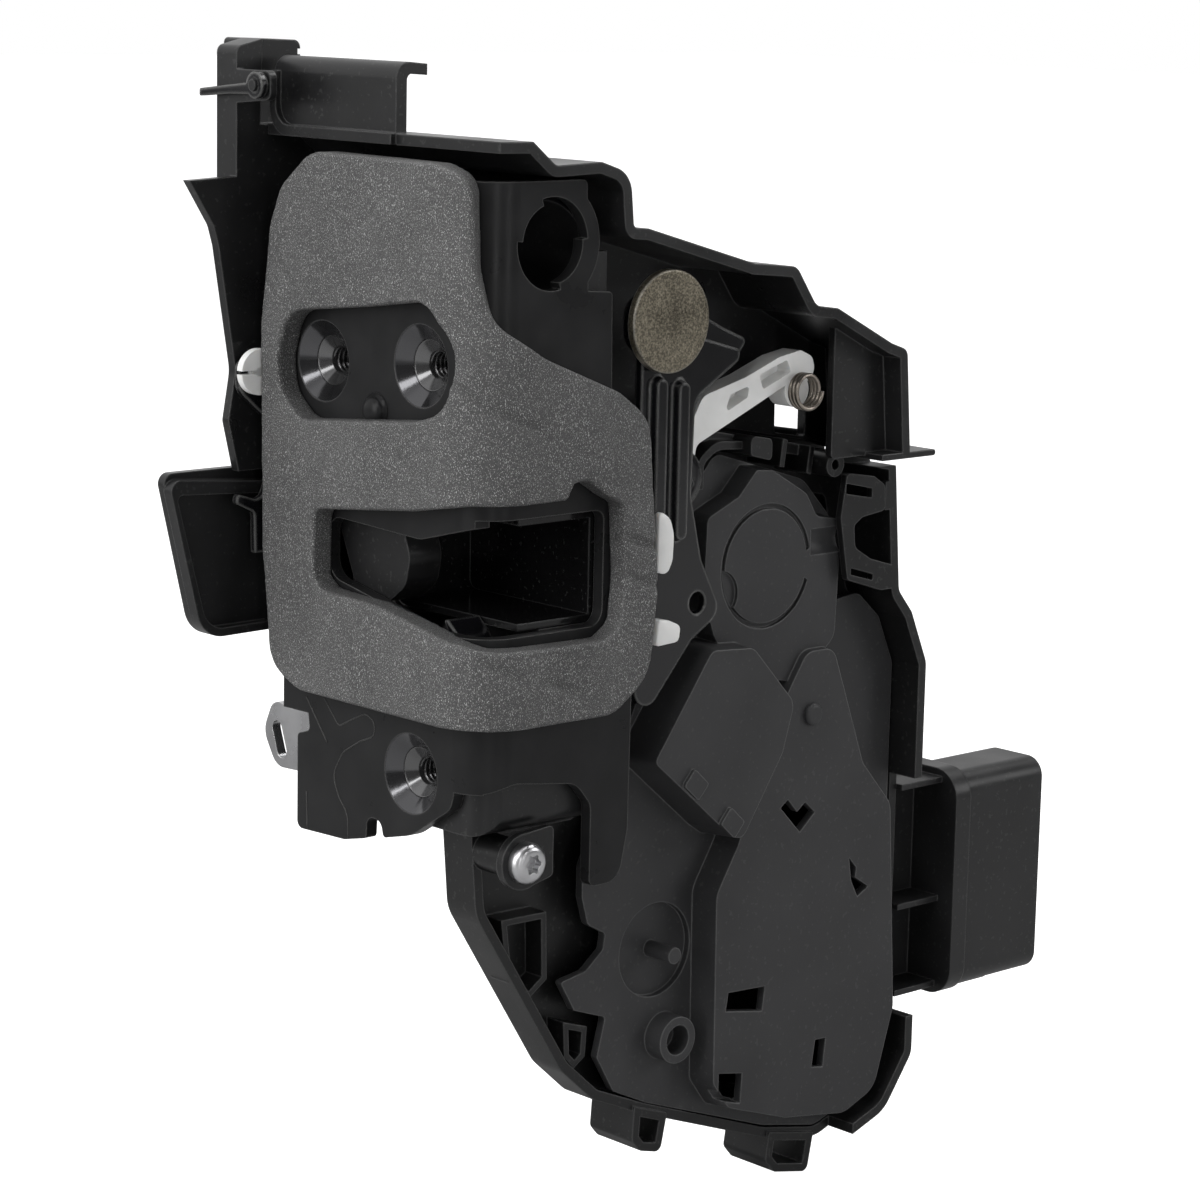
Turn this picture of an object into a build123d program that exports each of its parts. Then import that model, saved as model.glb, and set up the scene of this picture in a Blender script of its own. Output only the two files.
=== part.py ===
from build123d import *
import os
from math import cos, pi, radians, sin, tan

# Vehicle door latch with its power lock actuator, in millimetres.
# X runs into the door from the shut face, -Y faces the cabin and Z is up.
# The origin is the outer end of the thread in the lower fixing hole.

# Clearances and common walls
gap = 0.3
pin_gap = 0.05
wall = 2.0

# Steel face plate: flat part against the shut face, flange bent back along the cabin side
sheet = 2.5
dimple_depth = 4.0
dimple_mouth_r = 7.45
thread_r = 2.5
thread_len = 8.0
bush_r = 4.6
dimple_wall = 1.8
upper_outer_hole = (26.1, 72.1)
upper_inner_hole = (-1.6, 73.9)
lower_hole = (0.0, 0.0)
flange_y = -19.0
bend_r = 7.5
flange_reach = 32.0
plate_top = 107.0
plate_foot = -16.5
flange_foot = -21.5
plate_edge_y = 37.5
key_hole_x = 11.1
key_hole_z = 96.0
key_hole_r = 8.2
key_step_r = 7.0

# Throat that takes the striker
throat_low = 27.0
throat_high = 48.0
throat_end_y = 24.0
throat_reach = 24.5
tub_wall = 1.3

# Foam seal
foam_t = 5.0
foam_lip = 1.5
foam_top = 110.0
foam_foot = 11.4
foam_window_r = 10.1

# Fork bolt and pawl
fork_y = 14.0
fork_z = 54.0
fork_t = 7.5
fork_hub_r = 9.5
fork_tip_r = 29.0
fork_close = 56.0
fork_lip_r = 23.8
fork_lip_angle = 13.3
pawl_y = 22.0
pawl_z = 15.0
pawl_hub_r = 6.0
pawl_lift = 10.0
pin_r = 4.0
spring_wire = 0.9

# Release lever behind the pawl, and the steel back plate
lever_t = 2.0
lever_tab_y = 47.0
lever_tab_z = -3.0
back_t = 2.0

# Housing behind the steel
housing_end_wall = 0.7
housing_side_wall = 1.0
housing_top = 103.0
key_depth = 22.0
housing_foot = -9.5

# Cabin side linkage
bracket_y = -17.0
bracket_t = 1.8
disc_from_flange = 6.7
disc_z = 81.1
disc_r = 9.4
disc_t = 1.6
link_t = 4.6
link_x = 47.0
link_z = 51.0
link_hub_r = 5.5
link_post_r = 3.0
lock_t = 3.0
lock_x = 31.0
lock_z = 32.5
lock_post_r = 2.0
outside_t = 1.8
outside_pin_r = 2.5
toggle_wire = 0.8
coil_gap = 0.1
toggle_coil_r = 3.2
toggle_turns = 3.25
toggle_x = 77.6
toggle_z = 65.4

# Actuator
screw_x = 6.8
screw_z = -14.2
screw_head_r = 3.8
screw_r = 1.5
tube_r = 3.6
tube_front_y = -17.4
base_rim_y = -9.0
tall_rim_y = -15.8
base_back_y = -1.0
deep_back_y = 8.0
floor_t = 2.0
cover_t = 1.8
plateau_y = -15.0
dome_y = -13.5
bulge_y = -18.0
drive_y = -5.0
drive_angle = 50.0
module_size = 0.8
wheel_teeth = 24
worm_r = 2.8
backlash = 0.3
wheel_x = 72.2
wheel_z = 31.5
wheel_t = 2.4
wheel_bore_r = 3.0
motor_r = 8.5
motor_flat = 6.5
motor_len = 24.0
motor_from_mesh = 17.0
shaft_r = 1.0

rivet_x = 84.0
rivet_z = 2.0

# Connector
neck_x = 115.6
neck_rib_t = 1.2
collar_x = 127.6
collar_t = 4.4
plug_len = 23.0
plug_wall = 1.8
socket_depth = 20.0
plug_low = -62.5
plug_high = -17.0
plug_front_y = -14.0
plug_back_y = 2.5

# Weather shield
shield_front_y = -22.0
shield_back_y = 43.0
shield_t = 2.0
shield_right = 102.0
outer_pin_r = 3.0
outer_pin_x = 6.0
outer_pin_z = 58.0
outer_lever_y = 41.1
outer_lever_t = 1.4
clip_r = 4.3
clip_pin_r = 1.6
clip_x = -8.2
clip_z = 69.0
child_y = 35.5
child_z = 121.4
child_pin_r = 1.1
child_t = 1.4

housing_reach = throat_reach + tub_wall + housing_end_wall
disc_x = flange_reach + disc_from_flange
fork_lip_y = fork_y + fork_lip_r * sin(radians(fork_close + fork_lip_angle))
housing_edge_y = fork_lip_y + gap + housing_side_wall
plug_x = collar_x + collar_t
plate_x = -dimple_depth
plate_in = plate_x + sheet
foam_x = plate_x - foam_t
foam_y = flange_y - foam_t
flange_in = flange_y + sheet
fork_x = plate_in + gap
fork_back = fork_x + fork_t
lever_x = fork_back + 2 * gap
back_x = lever_x + lever_t + 2 * gap
housing_x = back_x + back_t + gap
link_front = bracket_y + bracket_t + 0.7
lock_front = bracket_y + bracket_t + 0.4
disc_back_y = foam_y + 3.4 + disc_t
outside_front = bracket_y + bracket_t + 0.2
cover_front = base_rim_y + 0.2
cover_back = cover_front + cover_t
shield_far_y = shield_back_y + shield_t
pitch_r = module_size * wheel_teeth / 2
worm_distance = pitch_r + worm_r
window_outer = (upper_outer_hole[0] - 2.6, upper_outer_hole[1])
window_inner = (upper_inner_hole[0] - 3.0, upper_inner_hole[1] + 1.2)
fixing_holes = [upper_outer_hole, upper_inner_hole, lower_hole]

# The motor lies beside the wheel on a slanted line
drive_cos = cos(radians(drive_angle))
drive_sin = sin(radians(drive_angle))
drive_dir = Vector(drive_cos, 0, drive_sin)
mesh_point = Vector(wheel_x, drive_y, wheel_z) + Vector(drive_sin, 0, -drive_cos) * worm_distance
drive_plane = Plane(origin=mesh_point, x_dir=(drive_sin, 0, -drive_cos), z_dir=drive_dir)

os.makedirs("parts", exist_ok=True)


def cabin_plane(y):
    # Sketch plane across the latch at depth y, drawn as (X, Z). It faces the cabin.
    return Plane.XZ.offset(-y)


def outline(*corners, mode=Mode.ADD):
    # Closed profile. The third number of a corner is its fillet radius, limited by its two sides.
    points = [Vector(corner[0], corner[1]) for corner in corners]
    radii = [corner[2] if len(corner) == 3 else 0 for corner in corners]
    ends = []
    with BuildLine() as profile:
        for i, (point, radius) in enumerate(zip(points, radii)):
            back = point - points[i - 1]
            ahead = points[(i + 1) % len(points)] - point
            half_turn = radians(back.get_angle(ahead) / 2)
            cut = min(radius * tan(half_turn), 0.45 * back.length, 0.45 * ahead.length)
            if cut < 0.02:
                ends.append((point, point))
                continue
            inward = (ahead.normalized() - back.normalized()).normalized()
            bulge = cut * (1 - cos(half_turn)) / sin(half_turn)
            start = point - back.normalized() * cut
            end = point + ahead.normalized() * cut
            ThreePointArc(start, point + inward * bulge, end)
            ends.append((start, end))
        for i, (start, _) in enumerate(ends):
            Line(ends[i - 1][1], start)
    make_face(profile.edges(), mode=mode)


def bent_section(outer_x, outer_y, radius, thickness, far_x, far_y):
    # Section, drawn as (X, Y), of a sheet that is bent once along Z.
    with BuildLine() as profile:
        outer = FilletPolyline((outer_x, far_y), (outer_x, outer_y), (far_x, outer_y), radius=radius)
        inner = FilletPolyline(
            (outer_x + thickness, far_y),
            (outer_x + thickness, outer_y + thickness),
            (far_x, outer_y + thickness),
            radius=radius - thickness,
        )
        Line(outer @ 0, inner @ 0)
        Line(outer @ 1, inner @ 1)
    make_face(profile.edges())


def along_x(x, spots):
    # Locations whose own Z axis runs into the door.
    return Locations(*[Location((x, y, z), (0, 90, 0)) for y, z in spots])


def along_y(y, spots):
    # Locations whose own Z axis runs away from the cabin.
    return Locations(*[Location((x, y, z), (-90, 0, 0)) for x, z in spots])


base_align = (Align.CENTER, Align.CENTER, Align.MIN)


def save(builder, name):
    builder.part.label = name
    export_step(builder.part, f"parts/{name}.step")


# Face plate
def plate_flat_outline():
    outline(
        (plate_edge_y, foam_foot - 5.5),
        (30.0, 6.0),
        (29.5, 2.8, 1.0),
        (33.2, 1.6, 1.0),
        (33.2, plate_foot, 1.5),
        (19.0, plate_foot + 0.5, 3.0),
        (12.6, -14.5, 1.0),
        (12.4, -10.2, 2.0),
        (8.4, -10.4, 2.0),
        (7.6, -13.4, 0.8),
        (-0.3, -11.4, 9.0),
        (-11.2, -4.5, 4.0),
        (-12.0, -1.8),
        (-12.0, flange_foot - 2),
        (flange_y - 2, flange_foot - 2),
        (flange_y - 2, plate_top),
        (22.0, plate_top, 6.0),
        (34.0, 98.0, 6.0),
        (plate_edge_y, 86.0, 4.0),
    )


def flange_outline():
    outline(
        (plate_x - 2, flange_foot - 2),
        (plate_in + 0.1, flange_foot - 2),
        (plate_in + 0.1, -1.0),
        (4.0, 0.5, 8.0),
        (19.0, -1.6, 5.0),
        (22.7, -6.0, 3.0),
        (22.7, flange_foot, 1.5),
        (flange_reach - 2.0, flange_foot, 4.0),
        (flange_reach, -12.0, 3.0),
        (flange_reach + 0.6, 60.0, 5.0),
        (25.8, 68.6),
        (25.4, 87.0, 0.8),
        (19.6, 87.4),
        (18.9, plate_top, 1.0),
        (plate_x - 2, plate_top),
    )
    with Locations((key_hole_x, key_hole_z)):
        Circle(key_hole_r + 2.8)


with BuildPart() as face_plate:
    with BuildSketch(Plane.XY.offset(flange_foot)):
        bent_section(plate_x, flange_y, bend_r, sheet, flange_reach + 2, plate_edge_y + 2)
    extrude(amount=plate_top - flange_foot)
    with BuildSketch(Plane.YZ.offset(plate_x - 1)):
        plate_flat_outline()
    extrude(amount=flange_reach - plate_x + 5, mode=Mode.INTERSECT)
    with BuildSketch(cabin_plane(flange_y - 1)):
        flange_outline()
    extrude(amount=-(plate_edge_y - flange_y + 5), mode=Mode.INTERSECT)
    with BuildSketch(Plane.XY.offset(flange_foot - 1)):
        outline(
            (plate_x - 1, flange_y - 1),
            (plate_in + 2, flange_y - 1),
            (plate_in + 2, -12.0),
            (plate_x - 1, -12.0),
        )
    extrude(amount=-flange_foot - 0.2, mode=Mode.SUBTRACT)
    # Throat, key hole and pin holes
    with BuildSketch(Plane.YZ.offset(plate_x - 1)):
        outline(
            (throat_end_y, throat_high - 4.0, 3.0),
            (throat_end_y, throat_low + 6.0, 4.0),
            (-7.0, throat_low, 6.0),
            (flange_y - 2, throat_low),
            (flange_y - 2, throat_high),
            (-2.0, throat_high - 5.0, 6.0),
        )
    extrude(amount=bend_r + 1, mode=Mode.SUBTRACT)
    with BuildSketch(cabin_plane(flange_y - 1)):
        outline(
            (plate_x - 2, throat_low),
            (throat_reach, throat_low, 3.0),
            (throat_reach, throat_high, 2.0),
            (plate_x - 2, throat_high),
        )
        with Locations((key_hole_x, key_hole_z)):
            Circle(key_step_r)
            with BuildSketch(mode=Mode.PRIVATE) as key_ring:
                Circle(key_hole_r)
                Circle(key_step_r - 0.5, mode=Mode.SUBTRACT)
                outline((0, 0), (-12, 1), (-12, 12), (-4, 12), mode=Mode.SUBTRACT)
                outline((0, 0), (12, 1), (12, -12), (3, -12), mode=Mode.SUBTRACT)
            add(key_ring.sketch)
    extrude(amount=-(sheet + 2), mode=Mode.SUBTRACT)
    with along_x(plate_x, fixing_holes):
        Cone(dimple_mouth_r + dimple_wall, bush_r + 0.6, dimple_depth + dimple_wall, align=base_align)
        Cone(dimple_mouth_r, thread_r, dimple_depth, align=base_align, mode=Mode.SUBTRACT)
        Cylinder(bush_r + pin_gap, dimple_depth + dimple_wall, align=base_align, mode=Mode.SUBTRACT)
    with along_x(plate_x, [(fork_y, fork_z), (pawl_y, pawl_z)]):
        Cylinder(pin_r, sheet, align=base_align, mode=Mode.SUBTRACT)
save(face_plate, "face_plate")

# Threaded bushes riveted in the dimples, their mouths in line with the cones
bush_front = plate_x + dimple_depth * (dimple_mouth_r - bush_r) / (dimple_mouth_r - thread_r)
with BuildPart() as fixing_bushes:
    with along_x(bush_front, fixing_holes):
        Cylinder(bush_r, thread_len - bush_front, align=base_align)
    with along_x(plate_x, fixing_holes):
        Cone(dimple_mouth_r, thread_r, dimple_depth, align=base_align, mode=Mode.SUBTRACT)
        Cylinder(thread_r, dimple_depth + thread_len, align=base_align, mode=Mode.SUBTRACT)
save(fixing_bushes, "fixing_bushes")

# Foam seal: a stamped sheet folded round the corner, with a window for the upper screws
with BuildPart() as foam_seal:
    with BuildSketch(Plane.XY.offset(foam_foot)):
        bent_section(foam_x, foam_y, bend_r + foam_t, foam_t, flange_reach + 6, plate_edge_y + 5)
    extrude(amount=foam_top - foam_foot)
    with BuildSketch(Plane.YZ.offset(foam_x - 1)):
        outline(
            (plate_edge_y - 0.4, foam_foot, 9.0),
            (foam_y - 2, foam_foot),
            (foam_y - 2, foam_top),
            (-8.0, foam_top, 6.0),
            (24.0, foam_top, 8.0),
            (34.5, 102.0, 6.0),
            (38.9, 80.0, 30.0),
            (38.2, 45.0, 20.0),
        )
    extrude(amount=flange_reach - foam_x + 8, mode=Mode.INTERSECT)
    with BuildSketch(cabin_plane(foam_y - 1)):
        outline(
            (foam_x - 2, foam_foot),
            (22.0, foam_foot, 6.0),
            (34.0, 20.0, 9.0),
            (34.2, 40.0, 12.0),
            (32.3, 65.0, 7.0),
            (-4.0, 80.0, 9.0),
            (-6.0, foam_top, 2.0),
            (foam_x - 2, foam_top),
        )
    extrude(amount=-(plate_edge_y - foam_y + 8), mode=Mode.INTERSECT)
    with BuildSketch(Plane.YZ.offset(foam_x - 1)):
        with Locations(window_outer, window_inner):
            Circle(foam_window_r)
        outline(
            (window_outer[0], window_outer[1] - foam_window_r),
            (window_outer[0], window_outer[1] + foam_window_r),
            (window_inner[0], window_inner[1] + foam_window_r),
            (window_inner[0], window_inner[1] - foam_window_r),
        )
        outline(
            (throat_end_y - foam_lip, throat_high - 2.0, 2.5),
            (throat_end_y - foam_lip, throat_low + 4.5, 3.0),
            (-7.0, throat_low + 1.5),
            (foam_y - 2, throat_low - 1.5),
            (foam_y - 2, throat_high + 2.5),
        )
    extrude(amount=foam_t + bend_r + 2, mode=Mode.SUBTRACT)
    with BuildSketch(cabin_plane(foam_y - 1)):
        outline(
            (foam_x - 2, throat_low - 0.5),
            (2.0, throat_low - 1.5, 4.0),
            (throat_reach + 1.5, throat_low - 1.8, 5.0),
            (throat_reach + 1.5, throat_high + 2.0, 3.0),
            (20.0, throat_high + 4.8, 1.5),
            (15.0, throat_high + 6.5, 1.5),
            (13.0, throat_high + 3.5, 1.0),
            (foam_x - 2, throat_high + 3.0),
        )
    extrude(amount=-(foam_t + 2), mode=Mode.SUBTRACT)
save(foam_seal, "foam_seal")


# Pivot pins: riveted in the face plate and the back plate
def pivot_pin(name, y, z):
    with BuildPart() as pin:
        with along_x(plate_x, [(y, z)]):
            Cylinder(pin_r - pin_gap, back_x + back_t - plate_x, align=base_align)
    save(pin, name)


pivot_pin("fork_pivot", fork_y, fork_z)
pivot_pin("pawl_pivot", pawl_y, pawl_z)


# Fork bolt, drawn open about its pivot
def polar(radius, from_down):
    # Point at an angle from straight down, positive away from the cabin.
    return (radius * sin(radians(from_down)), -radius * cos(radians(from_down)))


tooth_angle = -38.0 - fork_close
with BuildPart() as fork_bolt:
    with BuildSketch(Plane(origin=(fork_x, fork_y, fork_z), x_dir=(0, 1, 0), z_dir=(1, 0, 0))):
        outline(
            (-6.6, -6.6, 1.5),
            (-9.8, -15.5, 5.0),
            (-8.6, -20.8, 4.0),
            (-3.0, -25.0, 5.0),
            (*polar(fork_lip_r, fork_lip_angle), 4.0),
            (10.5, -12.0, 6.0),
            (9.4, 1.0, 4.0),
            (5.0, 8.6, 5.0),
            (-4.0, 8.9, 4.0),
            (-18.0, 4.4, 4.0),
            (*polar(22.4, tooth_angle), 0.8),
            (*polar(fork_tip_r, tooth_angle), 0.8),
            (*polar(fork_tip_r - 0.2, tooth_angle + 17.0), 1.5),
            (-15.5, -5.4, 2.0),
            (-9.6, -3.4, 1.5),
        )
        Circle(fork_hub_r)
        Circle(pin_r, mode=Mode.SUBTRACT)
    extrude(amount=fork_t)
    # The tooth is thinner, clear of the plate's bend
    with BuildSketch(Plane(origin=(fork_x, fork_y, fork_z), x_dir=(0, 1, 0), z_dir=(1, 0, 0))):
        with Locations(polar(fork_tip_r, tooth_angle + 8.0)):
            Circle(8.0)
    extrude(amount=2.4, mode=Mode.SUBTRACT)
save(fork_bolt, "fork_bolt")

# Pawl, drawn engaged about its pivot and then turned to the lifted rest position
pawl_frame = Plane(
    origin=(fork_x, pawl_y, pawl_z),
    x_dir=(0, cos(radians(pawl_lift)), sin(radians(pawl_lift))),
    z_dir=(1, 0, 0),
)
nose_top = polar(25.0, -38.7)
nose_root = polar(fork_tip_r + 0.9, -38.9)
under_leg = polar(fork_tip_r + 0.9, -18.0)


def from_pawl(point):
    # Fork coordinates of the closed state, as seen from the pawl's pivot.
    return (point[0] + fork_y - pawl_y, point[1] + fork_z - pawl_z)


with BuildPart() as pawl:
    with BuildSketch(pawl_frame):
        outline(
            (*from_pawl(nose_top), 0.5),
            (*from_pawl(nose_root), 0.4),
            (*from_pawl(under_leg), 6.0),
            (-5.0, pawl_hub_r - 0.8),
            (3.0, pawl_hub_r - 1.0, 2.0),
            (4.0, -pawl_hub_r + 1.0, 2.0),
            (-4.0, -pawl_hub_r + 0.6),
            (-18.0, 3.0, 8.0),
            (-29.5, 9.5, 3.0),
            (-30.6, 15.8, 4.0),
        )
        Circle(pawl_hub_r)
        Circle(pin_r, mode=Mode.SUBTRACT)
    extrude(amount=fork_t)
save(pawl, "pawl")

# Release lever: turns on the pawl's pin and joggles forward to its rod slot
joggle_y = 31.0
tab_x = plate_in + 3.8
with BuildPart() as release_lever:
    with BuildSketch(Plane.XY.offset(lever_tab_z - 15)):
        outline(
            (lever_x, -20.0),
            (lever_x, joggle_y, 1.0),
            (tab_x, joggle_y + 5.0, 3.0),
            (tab_x, lever_tab_y + 10.0),
            (tab_x + lever_t, lever_tab_y + 10.0),
            (tab_x + lever_t, joggle_y + 5.0, 1.0),
            (lever_x + lever_t, joggle_y, 3.0),
            (lever_x + lever_t, -20.0),
        )
    extrude(amount=pawl_z - lever_tab_z + 40)
    with BuildSketch(Plane.YZ.offset(tab_x - 1)):
        outline(
            (pawl_y - 6.0, pawl_z + 4.0, 4.0),
            (pawl_y - 6.0, pawl_z - 6.0, 4.0),
            (31.0, -5.0, 3.0),
            (40.0, -8.0, 2.0),
            (lever_tab_y + 1.0, -8.4, 4.0),
            (lever_tab_y + 5.0, -2.0, 4.0),
            (lever_tab_y + 2.0, 4.6, 3.0),
            (lever_tab_y - 4.0, 3.6, 2.0),
            (36.0, 6.0, 4.0),
            (pawl_y + 6.0, pawl_z + 6.5, 5.0),
        )
        with Locations((pawl_y, pawl_z)):
            Circle(pin_r, mode=Mode.SUBTRACT)
        with Locations((lever_tab_y, lever_tab_z)):
            SlotOverall(7.4, 3.0, rotation=70, mode=Mode.SUBTRACT)
    extrude(amount=lever_x + lever_t - tab_x + 2, mode=Mode.INTERSECT)
save(release_lever, "release_lever")

# Steel back plate that carries the far ends of the pins
with BuildPart() as back_plate:
    with BuildSketch(Plane.YZ.offset(back_x)):
        outline(
            (fork_y - 14.0, fork_z + 12.0, 4.0),
            (fork_y - 12.0, throat_high + 2.5, 2.0),
            (fork_y + 6.0, throat_high + 2.5, 2.0),
            (fork_y + 8.0, throat_low - 1.0, 3.0),
            (pawl_y - 12.0, throat_low - 3.0, 3.0),
            (pawl_y - 12.0, pawl_z - 8.0, 4.0),
            (pawl_y + 9.0, pawl_z - 8.0, 4.0),
            (34.0, 30.0, 4.0),
            (34.0, fork_z, 4.0),
            (fork_y + 12.0, fork_z + 12.0, 4.0),
        )
        with Locations((fork_y, fork_z), (pawl_y, pawl_z)):
            Circle(pin_r, mode=Mode.SUBTRACT)
    extrude(amount=back_t)
save(back_plate, "back_plate")


# Latch housing: moulded block behind the steel, with the mechanism's cavity and the throat
with BuildPart() as latch_housing:
    with BuildSketch(Plane.YZ.offset(plate_in)):
        outline(
            (flange_in + gap, housing_top, 5.0),
            (20.0, housing_top, 6.0),
            (housing_edge_y - 3.0, 95.0, 5.0),
            (housing_edge_y, 80.0, 4.0),
            (housing_edge_y, 10.0, 2.0),
            (housing_edge_y - 4.0, 8.0),
            (housing_edge_y - 4.0, housing_foot, 3.0),
            (flange_in + gap, housing_foot, 3.0),
        )
    extrude(amount=housing_reach - plate_in)
    with BuildSketch(Plane.XY.offset(housing_foot - 1)):
        outline(
            (plate_in, housing_edge_y + 1),
            (plate_in, flange_in + gap, bend_r - sheet + 0.5),
            (housing_reach, flange_in + gap),
            (housing_reach, housing_edge_y + 1),
        )
    extrude(amount=housing_top - housing_foot + 2, mode=Mode.INTERSECT)
    with BuildSketch(cabin_plane(flange_in)):
        with Locations((housing_reach, housing_top)):
            Rectangle(6.0, 2 * (housing_top - 94.0))
    extrude(amount=-80, mode=Mode.SUBTRACT)
    with along_y(housing_edge_y - 1, [(outer_pin_x, outer_pin_z)]):
        Cylinder(outer_pin_r - pin_gap, outer_lever_y + outer_lever_t - housing_edge_y + 1.2, align=base_align)
        Cylinder(outer_pin_r + 1.6, outer_lever_y - gap - housing_edge_y + 1, align=base_align)
    # Cavity of the fork bolt, pawl, lever and back plate
    with BuildSketch(Plane.YZ.offset(plate_in)):
        outline(
            (flange_in, fork_z + 12.5, 2.0),
            (fork_y + 14.0, fork_z + 12.5, 6.0),
            (housing_edge_y - housing_side_wall, fork_z, 3.0),
            (housing_edge_y - housing_side_wall, 24.0, 3.0),
            (housing_edge_y + 2.0, 22.0),
            (housing_edge_y + 2.0, housing_foot - 2),
            (pawl_y - 10.0, housing_foot - 2),
            (pawl_y - 12.0, pawl_z - 9.0, 4.0),
            (flange_in, 12.0),
        )
    extrude(amount=housing_x - plate_in, mode=Mode.SUBTRACT)
    with BuildSketch(Plane.YZ.offset(plate_in)):
        outline(
            (flange_in - 2, throat_high - 0.2),
            (throat_end_y - 6.0, throat_high - 0.2),
            (throat_end_y - 6.0, throat_low + 0.2),
            (flange_in - 2, throat_low + 0.2),
        )
    extrude(amount=housing_reach - plate_in + 2, mode=Mode.SUBTRACT)
    with along_x(plate_x, fixing_holes):
        Cone(
            dimple_mouth_r + dimple_wall + 0.5,
            bush_r + 1.1,
            dimple_depth + dimple_wall + 0.2,
            align=base_align,
            mode=Mode.SUBTRACT,
        )
        Cylinder(bush_r + gap, dimple_depth + thread_len + 1, align=base_align, mode=Mode.SUBTRACT)
        Cylinder(thread_r + 1.0, housing_reach + dimple_depth, align=base_align, mode=Mode.SUBTRACT)
    with along_y(flange_in, [(key_hole_x, key_hole_z)]):
        Cylinder(key_hole_r + 0.5, key_depth, align=base_align, mode=Mode.SUBTRACT)
save(latch_housing, "latch_housing")

# Throat insert: glossy tub behind the fork that the striker's loop enters
tub_x = fork_back + gap
tub_front = flange_in + 0.2
tub_gap = 0.4
tub_end_y = throat_end_y - 6.2
with BuildPart() as throat_insert:
    with BuildSketch(Plane.YZ.offset(tub_x)):
        outline(
            (tub_front, throat_high - tub_gap),
            (tub_end_y, throat_high - tub_gap, 3.0),
            (tub_end_y, throat_low + tub_gap, 3.0),
            (tub_front, throat_low + tub_gap),
        )
    extrude(amount=throat_reach + tub_wall - tub_x)
    with BuildSketch(Plane.YZ.offset(tub_x - 1)):
        outline(
            (tub_front - 2, throat_high - tub_gap - tub_wall),
            (tub_end_y - tub_wall, throat_high - tub_gap - tub_wall, 2.0),
            (tub_end_y - tub_wall, throat_low + tub_gap + tub_wall, 2.0),
            (tub_front - 2, throat_low + tub_gap + tub_wall),
        )
    extrude(amount=throat_reach - tub_x, mode=Mode.SUBTRACT)
save(throat_insert, "throat_insert")


# Linkage bracket: deep-drawn black steel in front of the levers
with BuildPart() as linkage_bracket:
    with BuildSketch(cabin_plane(bracket_y)):
        outline(
            (flange_reach + 3.0, 86.0, 5.0),
            (flange_reach + 3.0, 5.0, 3.0),
            (49.0, 21.0, 4.0),
            (56.5, 25.5, 3.0),
            (51.0, 36.0, 4.0),
            (48.0, 48.0, 6.0),
            (48.5, 66.0, 4.0),
            (59.5, 72.5, 1.0),
            (59.7, 74.6, 1.0),
            (49.0, 77.5, 3.0),
            (43.5, 86.0, 5.0),
        )
        with Locations((50.3, 27.9)):
            Circle(2.1, mode=Mode.SUBTRACT)
        with Locations((disc_x, disc_z)):
            Circle(outside_pin_r, mode=Mode.SUBTRACT)
    extrude(amount=-bracket_t)
    with BuildSketch(cabin_plane(bracket_y)):
        with Locations((38.8, 56.0), (44.4, 55.0)):
            SlotOverall(30.0, 3.6, rotation=90)
    extrude(amount=1.6, taper=20)
save(linkage_bracket, "linkage_bracket")

# Round steel weight on the pin of the outside release lever
with BuildPart() as inertia_disc:
    with along_y(disc_back_y - disc_t, [(disc_x, disc_z)]):
        Cylinder(disc_r, disc_t, align=base_align)
        Cylinder(outside_pin_r - pin_gap, outside_front + outside_t - disc_back_y + disc_t, align=base_align)
    fillet(inertia_disc.edges().filter_by(GeomType.CIRCLE).sort_by(Axis.Y)[0], 0.3)
save(inertia_disc, "inertia_disc")

# Outside release lever behind the bracket, its tip above the link lever
with BuildPart() as outside_lever:
    with BuildSketch(cabin_plane(outside_front)):
        outline(
            (disc_x - 5.0, disc_z + 4.5, 4.0),
            (disc_x - 5.0, disc_z - 5.5, 4.0),
            (50.0, 72.6, 3.0),
            (61.5, 73.6, 1.0),
            (63.5, 76.0, 1.0),
            (57.0, 78.6, 3.0),
            (disc_x + 4.0, disc_z + 4.5, 4.0),
        )
        with Locations((disc_x, disc_z)):
            Circle(outside_pin_r, mode=Mode.SUBTRACT)
    extrude(amount=-outside_t)
save(outside_lever, "outside_release_lever")

# White link lever with two pockets
with BuildPart() as link_lever:
    with BuildSketch(cabin_plane(link_front)):
        outline(
            (link_x - 2.0, link_z + 2.0),
            (link_x + 3.0, link_z - 3.0),
            (51.5, 57.0, 2.0),
            (77.0, 67.6, 1.0),
            (80.0, 66.6, 1.0),
            (82.4, 68.8, 2.0),
            (81.6, 71.6, 2.0),
            (78.4, 73.0, 1.0),
            (72.7, 72.0, 1.0),
            (64.0, 68.8, 2.0),
            (53.0, 66.0, 3.0),
            (50.0, 61.0, 3.0),
        )
        with Locations((link_x, link_z)):
            Circle(link_hub_r)
        with Locations((toggle_x, toggle_z)):
            Circle(toggle_coil_r)
        with Locations((link_x, link_z)):
            Circle(link_post_r, mode=Mode.SUBTRACT)
    extrude(amount=-link_t)
    with BuildSketch(cabin_plane(link_front)):
        outline((67.4, 69.0, 0.6), (68.6, 66.2, 0.6), (76.0, 69.0, 0.6), (74.8, 71.4, 0.6))
        outline((58.6, 62.4, 0.6), (64.6, 65.0, 0.6), (65.0, 67.2, 0.6), (60.0, 65.8, 0.6))
    extrude(amount=-(link_t - 1.2), mode=Mode.SUBTRACT)
save(link_lever, "link_lever")

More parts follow.
